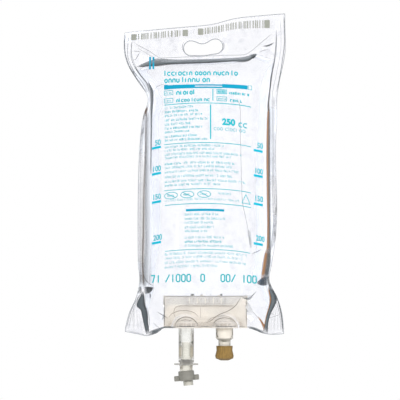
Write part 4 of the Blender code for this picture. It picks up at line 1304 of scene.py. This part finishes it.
# rims: where film is cut or melted it ends in a fine bead

rim = {
    "cut": 0.22,  # radius of each bead in mm
    "hole": 0.27,
    "weld": 0.13,
    "roundness": 2,
    "holeOut": 0.0002,  # the hole's bead stands this far outside the cut, and this far back
    "blockSide": 0.001,  # the outer bead stops this far beside the block
    "blockTop": 0.006,
    "gap": 0.02,  # a longer step than this is where it stops
}
rims = []


def addBead(name, points, radius, closed=False):
    path = bpy.data.curves.new(name, "CURVE")
    path.dimensions = "3D"
    path.bevel_depth = radius * mm
    path.bevel_resolution = rim["roundness"]
    spline = path.splines.new("POLY")
    spline.points.add(len(points) - 1)
    for spot, place in zip(spline.points, points):
        spot.co = (*place, 1.0)
    spline.use_cyclic_u = closed
    bead = bpy.data.objects.new(name, path)
    bpy.context.scene.collection.objects.link(bead)
    selectOnly(bead)
    bpy.ops.object.convert(target="MESH")
    rims.append(bpy.context.object)


def gridPoint(i, j):
    return (shape["x"][i, j] + blockX, shape["middle"][i, j], shape["z"][i, j])


lastColumn, lastRow = shape["x"].shape[0] - 1, shape["x"].shape[1] - 1
around = [gridPoint(i, 0) for i in range(lastColumn)]
around += [gridPoint(lastColumn, j) for j in range(lastRow)]
around += [gridPoint(i, lastRow) for i in range(lastColumn, 0, -1)]
around += [gridPoint(0, j) for j in range(lastRow, 0, -1)]
blockReach = blockWide + rim["blockSide"]
outer = [p for p in around
         if abs(p[0] - blockX) >= blockReach or p[2] >= blockLow.z + rim["blockTop"]]
start = next(k for k in range(len(outer)) if math.dist(outer[k], outer[k - 1]) > rim["gap"])
addBead("outerRim", outer[start:] + outer[:start], rim["cut"])
outline = [onSheet((x + hole["offset"] + blockX) / mm, z / mm, 0)
           for x, z in holeOutline(rim["holeOut"])]
addBead("holeRim", [(p.x, p.y + rim["holeOut"], p.z) for p in outline], rim["hole"], True)
for i in (grid["margin"], grid["margin"] + grid["fluid"]):
    weld = [gridPoint(i, j) for j in range(grid["header"], lastRow - grid["weld"])]
    addBead("sideWeld", weld, rim["weld"])
finishPiece(joinPieces(rims, "filmRims"), edgeMaterial(), "bag", (), 60)
print("rims ready")

# the printing: thin flat ink that follows the front film, in mm from the middle of the hanger hole

printing = {
    "inks": {
        "ink": ("cyan ink", "#008CAC"),
        "textInk": ("light cyan ink", "#00A2B0"),
        "tickInk": ("bright cyan ink", "#00A6C0"),
        "stampInk": ("teal stamping ink", "#00A0AA"),
        "codeInk": ("olive grey ink", "#8C8E86"),
    },
    "lift": 0.10,  # over the film
    "barFacet": 1.2,  # longest side of a printed face
    "lineFacet": 1.4,
    "lap": 0.4,  # lines run on past their corners by this share of half their width
    "stampSag": 0.35,
    "seed": 5,
}
sag = {  # how printed lines hang toward the sides of the bulging film: left, right
    "middle": 1.0,
    "curve": (0.00183, 0.00267),
    "steep": (0.004, 0.008),
    "steepFrom": 24.0,
    "steepRun": (40.0, 6.0),
    "top": -14.0,
    "run": 24.0,
    "least": 0.15,
}
small = {  # small marks, as shares of the height of their row
    "step": 0.82,
    "widths": (0.35, 0.55, 0.6, 0.62),
    "heights": (0.78, 0.8, 1.0),
    "gap": 0.22,
    "space": 0.5,
}
bold = {"low": 0.70, "widths": (0.72, 0.8, 0.86), "cut": 0.32, "gap": 0.2, "penGap": 0.6,
        "space": 0.45}
stamp = {"wide": 0.5, "step": 0.75, "cut": 0.3}
rng = random.Random(printing["seed"])
inks = {ink: [] for ink in printing["inks"]}


def droop(x, z):
    away = x - sag["middle"]
    side = 0 if away < 0 else 1
    beyond = min(max(abs(away) - sag["steepFrom"], 0.0), sag["steepRun"][side])
    share = min(max((sag["top"] - z) / sag["run"], sag["least"]), 1.0)
    return (sag["curve"][side] * away**2 + sag["steep"][side] * beyond**2) * share


def layFace(ink, corners, hang=1.0):
    inks[ink].append([onSheet(x, z - hang * droop(x, z), printing["lift"]) for x, z in corners])


def bar(x0, z0, x1, z1, ink="ink", hang=1.0):  # an upright printed bar
    steps = max(1, math.ceil(abs(x1 - x0) / printing["barFacet"]))
    tiers = max(1, math.ceil(abs(z1 - z0) / printing["barFacet"]))
    xs = [x0 + (x1 - x0) * k / steps for k in range(steps + 1)]
    zs = [z0 + (z1 - z0) * k / tiers for k in range(tiers + 1)]
    for a, b in zip(xs, xs[1:]):
        for low, high in zip(zs, zs[1:]):
            layFace(ink, [(a, low), (b, low), (b, high), (a, high)], hang)


def stroke(points, width, ink="textInk", closed=False, hang=1.0):  # a printed line of even width
    points = [Vector(p) for p in points]
    for first, last in zip(points, points[1:] + points[:1] if closed else points[1:]):
        run = (last - first).normalized() * width / 2
        out = Vector((-run.y, run.x))
        start, end = first - run * printing["lap"], last + run * printing["lap"]
        steps = max(1, math.ceil((end - start).length / printing["lineFacet"]))
        spots = [start.lerp(end, k / steps) for k in range(steps + 1)]
        for a, b in zip(spots, spots[1:]):
            layFace(ink, [a - out, b - out, b + out, a + out], hang)


def rule(left, right, z, width):
    bar(left, z - width / 2, right, z + width / 2, "textInk")


def ring(x, z, wide, high, cut):  # a loop with its corners cut off
    return [(x + cut, z), (x + wide - cut, z), (x + wide, z + cut), (x + wide, z + high - cut),
            (x + wide - cut, z + high), (x + cut, z + high), (x, z + high - cut), (x, z + cut)]


smallMarks = (
    ("left", "top", "right"), ("left", "low", "right"), ("left", "low", "middle", "top"),
    ("left", "top", "right", "low"), ("left",), ("left", "middle", "right"),
    ("low", "top", "right"), ("middle", "left", "low"), ("left", "top"),
    ("right", "middle", "top"), ("left", "low"),
)


def smallMark(x, z, height, width, pen, ink):  # a few upright and level strokes
    half = height / 2
    bars = {
        "left": (x, z, x + pen, z + height),
        "right": (x + width - pen, z, x + width, z + height),
        "low": (x, z, x + width, z + pen),
        "middle": (x, z + half - pen / 2, x + width, z + half + pen / 2),
        "top": (x, z + height - pen, x + width, z + height),
    }
    for name in rng.choice(smallMarks):
        bar(*bars[name], ink)


def smallRow(left, right, z, height, pen, ink="textInk", groups=(2, 9)):  # groups of small marks
    x = left
    step = height * small["step"]
    while x + step < right:
        for _ in range(rng.randint(*groups)):
            if x + step > right:
                break
            wide = height * rng.choice(small["widths"])
            smallMark(x, z, height * rng.choice(small["heights"]), wide, pen, ink)
            x += wide + height * small["gap"]
        x += height * small["space"]


def boldRow(left, right, z, height, pen, groups=(3, 8)):  # groups of round bold marks
    x = left
    low = height * bold["low"]
    while x < right - low:
        for k in range(rng.randint(*groups)):
            if x > right - low:
                break
            wide = low * rng.choice(bold["widths"])
            cut = wide * bold["cut"]
            kind = rng.choice(("ring", "arch", "cup", "ring", "tall", "dot", "turn"))
            tall = height if k == 0 or kind == "tall" else low
            inner, end, top = x + wide - cut, x + wide, z + low
            paths = {
                "ring": ring(x, z, wide, low, cut),
                "arch": [(x, z), (x, top - cut), (x + cut, top), (inner, top), (end, top - cut),
                         (end, z)],
                "cup": [(x, z + tall), (x, z + cut), (x + cut, z), (inner, z), (end, z + cut),
                        (end, top)],
                "turn": [(end, top), (x + cut, top), (x, top - cut), (x, z + cut), (x + cut, z),
                         (end, z)],
            }
            if kind in paths:
                stroke(paths[kind], pen, closed=kind == "ring")
            else:
                wide = pen
                stroke([(x, z), (x, z + tall)], pen)
            x += wide + height * bold["gap"] + pen * bold["penGap"]
        x += height * bold["space"]


def stampRow(left, right, z, height, pen):  # tall strokes and rings, as a hot stamp leaves them
    wide, step = height * stamp["wide"], height * stamp["step"]
    shapes = {
        "bar": ((0.5, 0), (0.5, 1)),
        "slash": ((0, 0), (1, 1)),
        "hook": ((0, 1), (1, 1), (0.4, 0)),
    }
    for k in range(max(1, round((right - left + step - wide) / step))):
        x = left + k * step
        kind = rng.choice(("ring", "ring", "bar", "slash", "hook"))
        if kind == "ring":
            points = ring(x, z, wide, height, wide * stamp["cut"])
        else:
            points = [(x + wide * across, z + height * up) for across, up in shapes[kind]]
        stroke(points, pen, "stampInk", kind == "ring", printing["stampSag"])


def oval(x, z, wide, high, pen=0.42, sides=28):  # a ring with a slash and small marks in it
    turns = [k * math.tau / sides for k in range(sides)]
    loop = [(x + wide / 2 * math.cos(t), z + high / 2 * math.sin(t)) for t in turns]
    stroke(loop, pen, closed=True)
    stroke([(x - wide * 0.3, z + high * 0.3), (x + wide * 0.3, z - high * 0.32)], pen)
    smallRow(x - wide * 0.3, x + wide * 0.34, z - 0.6, 1.3, 0.26)


# two bold rows and the thick bar with its pale slits
boldRow(-25.0, 25.0, -18.7, 2.9, 0.74, (4, 8))
boldRow(-25.0, 4.7, -23.2, 3.0, 0.76, (3, 9))
for corners in ((-25.6, -27.5, -23.1, -24.6), (-23.1, -27.4, -5.4, -24.9),
                (-5.4, -25.8, 12.3, -24.9), (-5.4, -27.4, 12.3, -26.4),
                (12.3, -27.1, 29.0, -24.6)):
    bar(*corners)
stroke([(29.5, -24.7), (31.6, -24.7), (31.6, -27.0), (29.5, -27.0)], 0.3, closed=True)
# four small frames, each with a row beside it
for left, right, z in ((-25.4, -19.8, -31.0), (-25.4, -19.8, -35.9),
                       (8.9, 15.3, -30.9), (8.9, 15.3, -35.5)):
    top = z + 2.6
    stroke([(left, z), (right, z), (right, top), (left, top)], 0.36, closed=True)
    smallRow(left + 0.7, right - 0.3, z + 0.7, 1.2, 0.28)
for k in range(5):
    z = -30.6 + 0.5 * k
    bar(9.3, z, 14.9, z + 0.28, "textInk")
boldRow(-17.3, -4.1, -31.2, 2.7, 0.78, (6, 6))
boldRow(-17.4, 4.4, -35.9, 2.1, 0.6, (4, 6))
smallRow(16.8, 31.1, -31.0, 1.8, 0.46, groups=(7, 8))
smallRow(17.5, 26.3, -35.7, 2.1, 0.52, groups=(5, 5))
bar(6.0, -35.5, 6.6, -28.0, "textInk")
rule(-25.3, 31.1, -37.2, 0.5)
# column of small rows at the left, a divider, and one thin row under the volume
for z in (-39.99, -42.61, -45.10, -48.11, -50.79, -53.41, -55.76, -58.77, -61.26):
    smallRow(-25.0, rng.uniform(-7.37, 4.41), z, 1.5, 0.27)
bar(4.4, -60.7, 5.2, -38.2, "textInk")
boldRow(7.0, 29.7, -54.8, 2.5, 0.3, (3, 7))
rule(-25.6, 31.1, -63.1, 0.46)
# block of small rows across the bag, one of them with a heavier start
for z in (-65.58, -67.87, -70.49, -72.71, -76.64, -79.13, -81.94, -85.22, -88.23, -90.71):
    right = rng.uniform(7.68, 30.59)
    heavy = z == -76.64
    if heavy:
        smallRow(-25.0, -13.9, z, 1.5, 0.3)
    smallRow(-12.6 if heavy else -25.0, right, z, 1.5, 0.21)
rule(-25.4, 31.1, -93.2, 0.44)
# three ovals, a triangle and two faint rows
for x in (-21.0, -10.4, 0.6):
    oval(x, -96.7, 8.5, 4.3)
smallRow(9.6, 18.2, -96.6, 1.4, 0.18)
stroke([(25.1, -100.8), (27.8, -95.0), (30.6, -100.8)], 0.42, closed=True)
smallRow(-25.0, 23.4, -100.5, 1.4, 0.16)
rule(-24.9, 31.1, -102.8, 0.46)
# a plain bar, with eight rows under it
bar(-11.3, -107.7, 13.6, -106.2)
for z, right, pen in ((-110.35, 10.96, 0.2), (-113.16, 16.19, 0.2), (-115.78, 7.03, 0.2),
                      (-118.79, 8.34, 0.2), (-121.28, 3.10, 0.2), (-125.34, 14.88, 0.2),
                      (-128.15, 12.27, 0.32), (-130.77, 20.12, 0.2)):
    smallRow(-12.0, right, z, 1.5, pen)
rule(-25.0, 30.5, -132.6, 0.42)
for z, right in ((-135.42, 28.63), (-138.03, 26.66), (-140.91, 28.63), (-143.92, 11.61)):
    smallRow(-25.0, right, z, 1.5, 0.16)
# the stamped row near the foot
for left, right in ((-33.9, -27.8), (-24.4, -8.3), (-1.5, 1.8), (11.6, 21.4), (25.4, 35.2)):
    stampRow(left, right, -153.4, 4.6, 0.8)


def number(digits, middle, low, height, narrow, pen):  # plain digits, laid on the film
    bpy.ops.object.text_add(location=(0, 0, 0))
    flat = bpy.context.object
    flat.data.body = digits
    flat.data.size = 1.0
    flat.data.offset = pen
    bpy.ops.object.convert(target="MESH")
    flat = bpy.context.object
    bpy.ops.object.mode_set(mode="EDIT")
    bpy.ops.mesh.select_all(action="SELECT")
    bpy.ops.mesh.quads_convert_to_tris(quad_method="BEAUTY", ngon_method="BEAUTY")
    bpy.ops.object.mode_set(mode="OBJECT")
    xs = [v.co.x for v in flat.data.vertices]
    ys = [v.co.y for v in flat.data.vertices]
    size = height / (max(ys) - min(ys))
    centre = (min(xs) + max(xs)) / 2
    places = [(middle + (x - centre) * size * narrow, low + (y - min(ys)) * size)
              for x, y in zip(xs, ys)]
    for face in flat.data.polygons:
        layFace("textInk", [places[index] for index in face.vertices])
    bpy.data.objects.remove(flat, do_unlink=True)


graduation = {
    "high": 3.7,
    "narrow": 0.78,
    "pen": 0.024,
    "numbers": (  # digits, middle, foot, down both sides
        ("50", -29.6, -62.8), ("100", -30.1, -79.7), ("150", -30.1, -98.1), ("200", -29.7, -124.7),
        ("50", 37.1, -63.0), ("100", 36.5, -79.8), ("150", 36.5, -97.8), ("200", 37.2, -123.6),
    ),
    "tickHigh": 1.57,
    "ticks": (  # left end, right end, feet
        (-33.5, -27.5, (-64.89, -81.91, -100.37, -126.94)),
        (32.9, 38.8, (-65.55, -81.98, -100.43, -126.35)),
    ),
}
number("250", 16.6, -51.3, 4.5, 1.0, 0.055)
boldRow(23.3, 29.5, -51.4, 3.7, 0.68, (2, 2))
for digits, middle, low in graduation["numbers"]:
    number(digits, middle, low, graduation["high"], graduation["narrow"], graduation["pen"])
for left, right, feet in graduation["ticks"]:
    for low in feet:
        bar(left, low, right, low + graduation["tickHigh"], "tickInk")
bar(-35.4, -14.8, -34.2, -6.2, hang=0)
bar(-33.2, -14.7, -32.0, -6.3, hang=0)

# pale registration bars along the top edge, placed in steps of one module
marking = {
    "module": 0.6545,
    "groups": ((-72.26, -15.26), (-5.26, 66.74)),  # from the middle of the hole
    "end": 5.4,  # the wide bar at both ends of a group
    "endRoom": 6.5,
    "endGap": 1.5,
    "widths": (0.8, 0.9, 1.1, 1.5),
    "gaps": (0.8, 1.0, 1.4, 2.2),
    "endReach": 5.6,
    "climbFrom": 6.74,  # from here on they stand lower under the edge and grow taller
    "climbRun": 60,
    "drop": 1.6,
    "high": 4.2,
    "grow": 1.2,
}
for first, last in marking["groups"]:
    x = first
    while x < last:
        atEnd = x < first + 0.1 or x > last - marking["endRoom"]
        wide = marking["end"] if atEnd else rng.choice(marking["widths"])
        left = x * marking["module"]
        climb = max(0, (x - marking["climbFrom"]) / marking["climbRun"])
        top = float(topEdge(left * mm - blockX)) / mm - marking["drop"] * (1 + climb)
        low = top - marking["high"] - marking["grow"] * climb
        bar(left, low, left + wide * marking["module"], top, "codeInk", hang=0)
        x += wide + (marking["endGap"] if atEnd else rng.choice(marking["gaps"]))
        if last - marking["endRoom"] < x < last - marking["endReach"]:
            x = last - marking["end"]

for ink, faces in inks.items():
    verts = [p for face in faces for p in face]
    polys, k = [], 0
    for face in faces:
        polys.append(tuple(range(k, k + len(face))))
        k += len(face)
    mesh = bpy.data.meshes.new(ink)
    mesh.from_pydata(verts, [], polys)
    layer = bpy.data.objects.new(ink + "Print", mesh)
    bpy.context.scene.collection.objects.link(layer)
    mesh.update()
    for face in mesh.polygons:
        if face.normal.y > 0:
            face.flip()
    finishPiece(layer, inkMaterial(*printing["inks"][ink]), "bag", (), 60)
print("print ready")

# finishes of the block, the ports, the cap and the stopper, which stay as packed

looks = {
    "port_block": {  # milky; painted lighter, and cooler by a band laid on it, where the fluid is behind it
        "name": "cream polypropylene",
        "middle": "#F5EEE1", "edge": "#B8AD9C", "spread": 2.0, "clear": 0.35, "roughness": 0.35,
        "tones": ((-0.1835, 1.0), (-0.1698, 0.99), (-0.1688, 1.07), (-0.1620, 1.07)),
    },
    "spike_port_tube": {  # nearly clear, with grey walls at both sides: painted shade where it is seen edge on
        "name": "clear tube",
        "middle": "#FDFDFC", "edge": "#6A6A62", "spread": 3.2, "clear": 0.9, "roughness": 0.12,
        "tones": ((-0.2045, 0.99), (-0.1797, 1.0)),
    },
    "spike_sleeve": {  # its thick ring and flange are darker
        "name": "sleeve polypropylene",
        "middle": "#FFFEFA", "edge": "#E2DCCF", "spread": 2.8, "clear": 0.70, "roughness": 0.2,
        "tones": ((-0.2136, 1.0), (-0.2085, 1.0), (-0.2080, 0.62), (-0.2070, 0.62), (-0.2066, 0.74),
                  (-0.2063, 0.53), (-0.2046, 0.53), (-0.2042, 1.0), (-0.1931, 1.0)),
    },
    "twist_off_cap": {  # grey, with a pale thin tip
        "name": "grey polypropylene",
        "middle": "#898780", "edge": "#65655D", "spread": 1.1, "clear": 0.12, "roughness": 0.3,
        "tones": ((-0.2216, 2.05), (-0.2190, 2.0), (-0.2186, 0.98), (-0.2150, 0.96),
                  (-0.2125, 0.92), (-0.2114, 1.0)),
    },
    "additive_port_body": {  # milky, darker round its shoulder and neck
        "name": "port polypropylene",
        "middle": "#FAF4EA", "edge": "#5F5C52", "spread": 2.0, "clear": 0.35, "roughness": 0.3,
        "tones": ((-0.2013, 0.8), (-0.1956, 0.8), (-0.1935, 0.86), (-0.1925, 0.66), (-0.1912, 0.7),
                  (-0.1902, 0.95), (-0.1797, 1.0)),
    },
    "rubber_stopper": {  # matt, with fine upright streaks of painted light and shade where the moulded ribs are, bumped by the same noise
        "name": "amber rubber",
        "middle": "#856935", "edge": "#5C4A28", "spread": 1.8, "clear": 0.0, "roughness": 0.65,
        "mottleStretch": (9.0, 9.0, 0.3),  # draws the mottling out into streaks 0.6 mm apart
        "mottle": 0.26,
        "tones": ((-0.2050, 0.72), (-0.2042, 0.92), (-0.2020, 1.0), (-0.1968, 1.0),
                  (-0.1960, 0.84), (-0.1955, 0.84)),
    },
}
for node, look in looks.items():
    nodes[node].data.materials.clear()
    nodes[node].data.materials.append(mouldedMaterial(look))
print("finishes ready")

bpy.context.scene.view_settings.view_transform = "Standard"
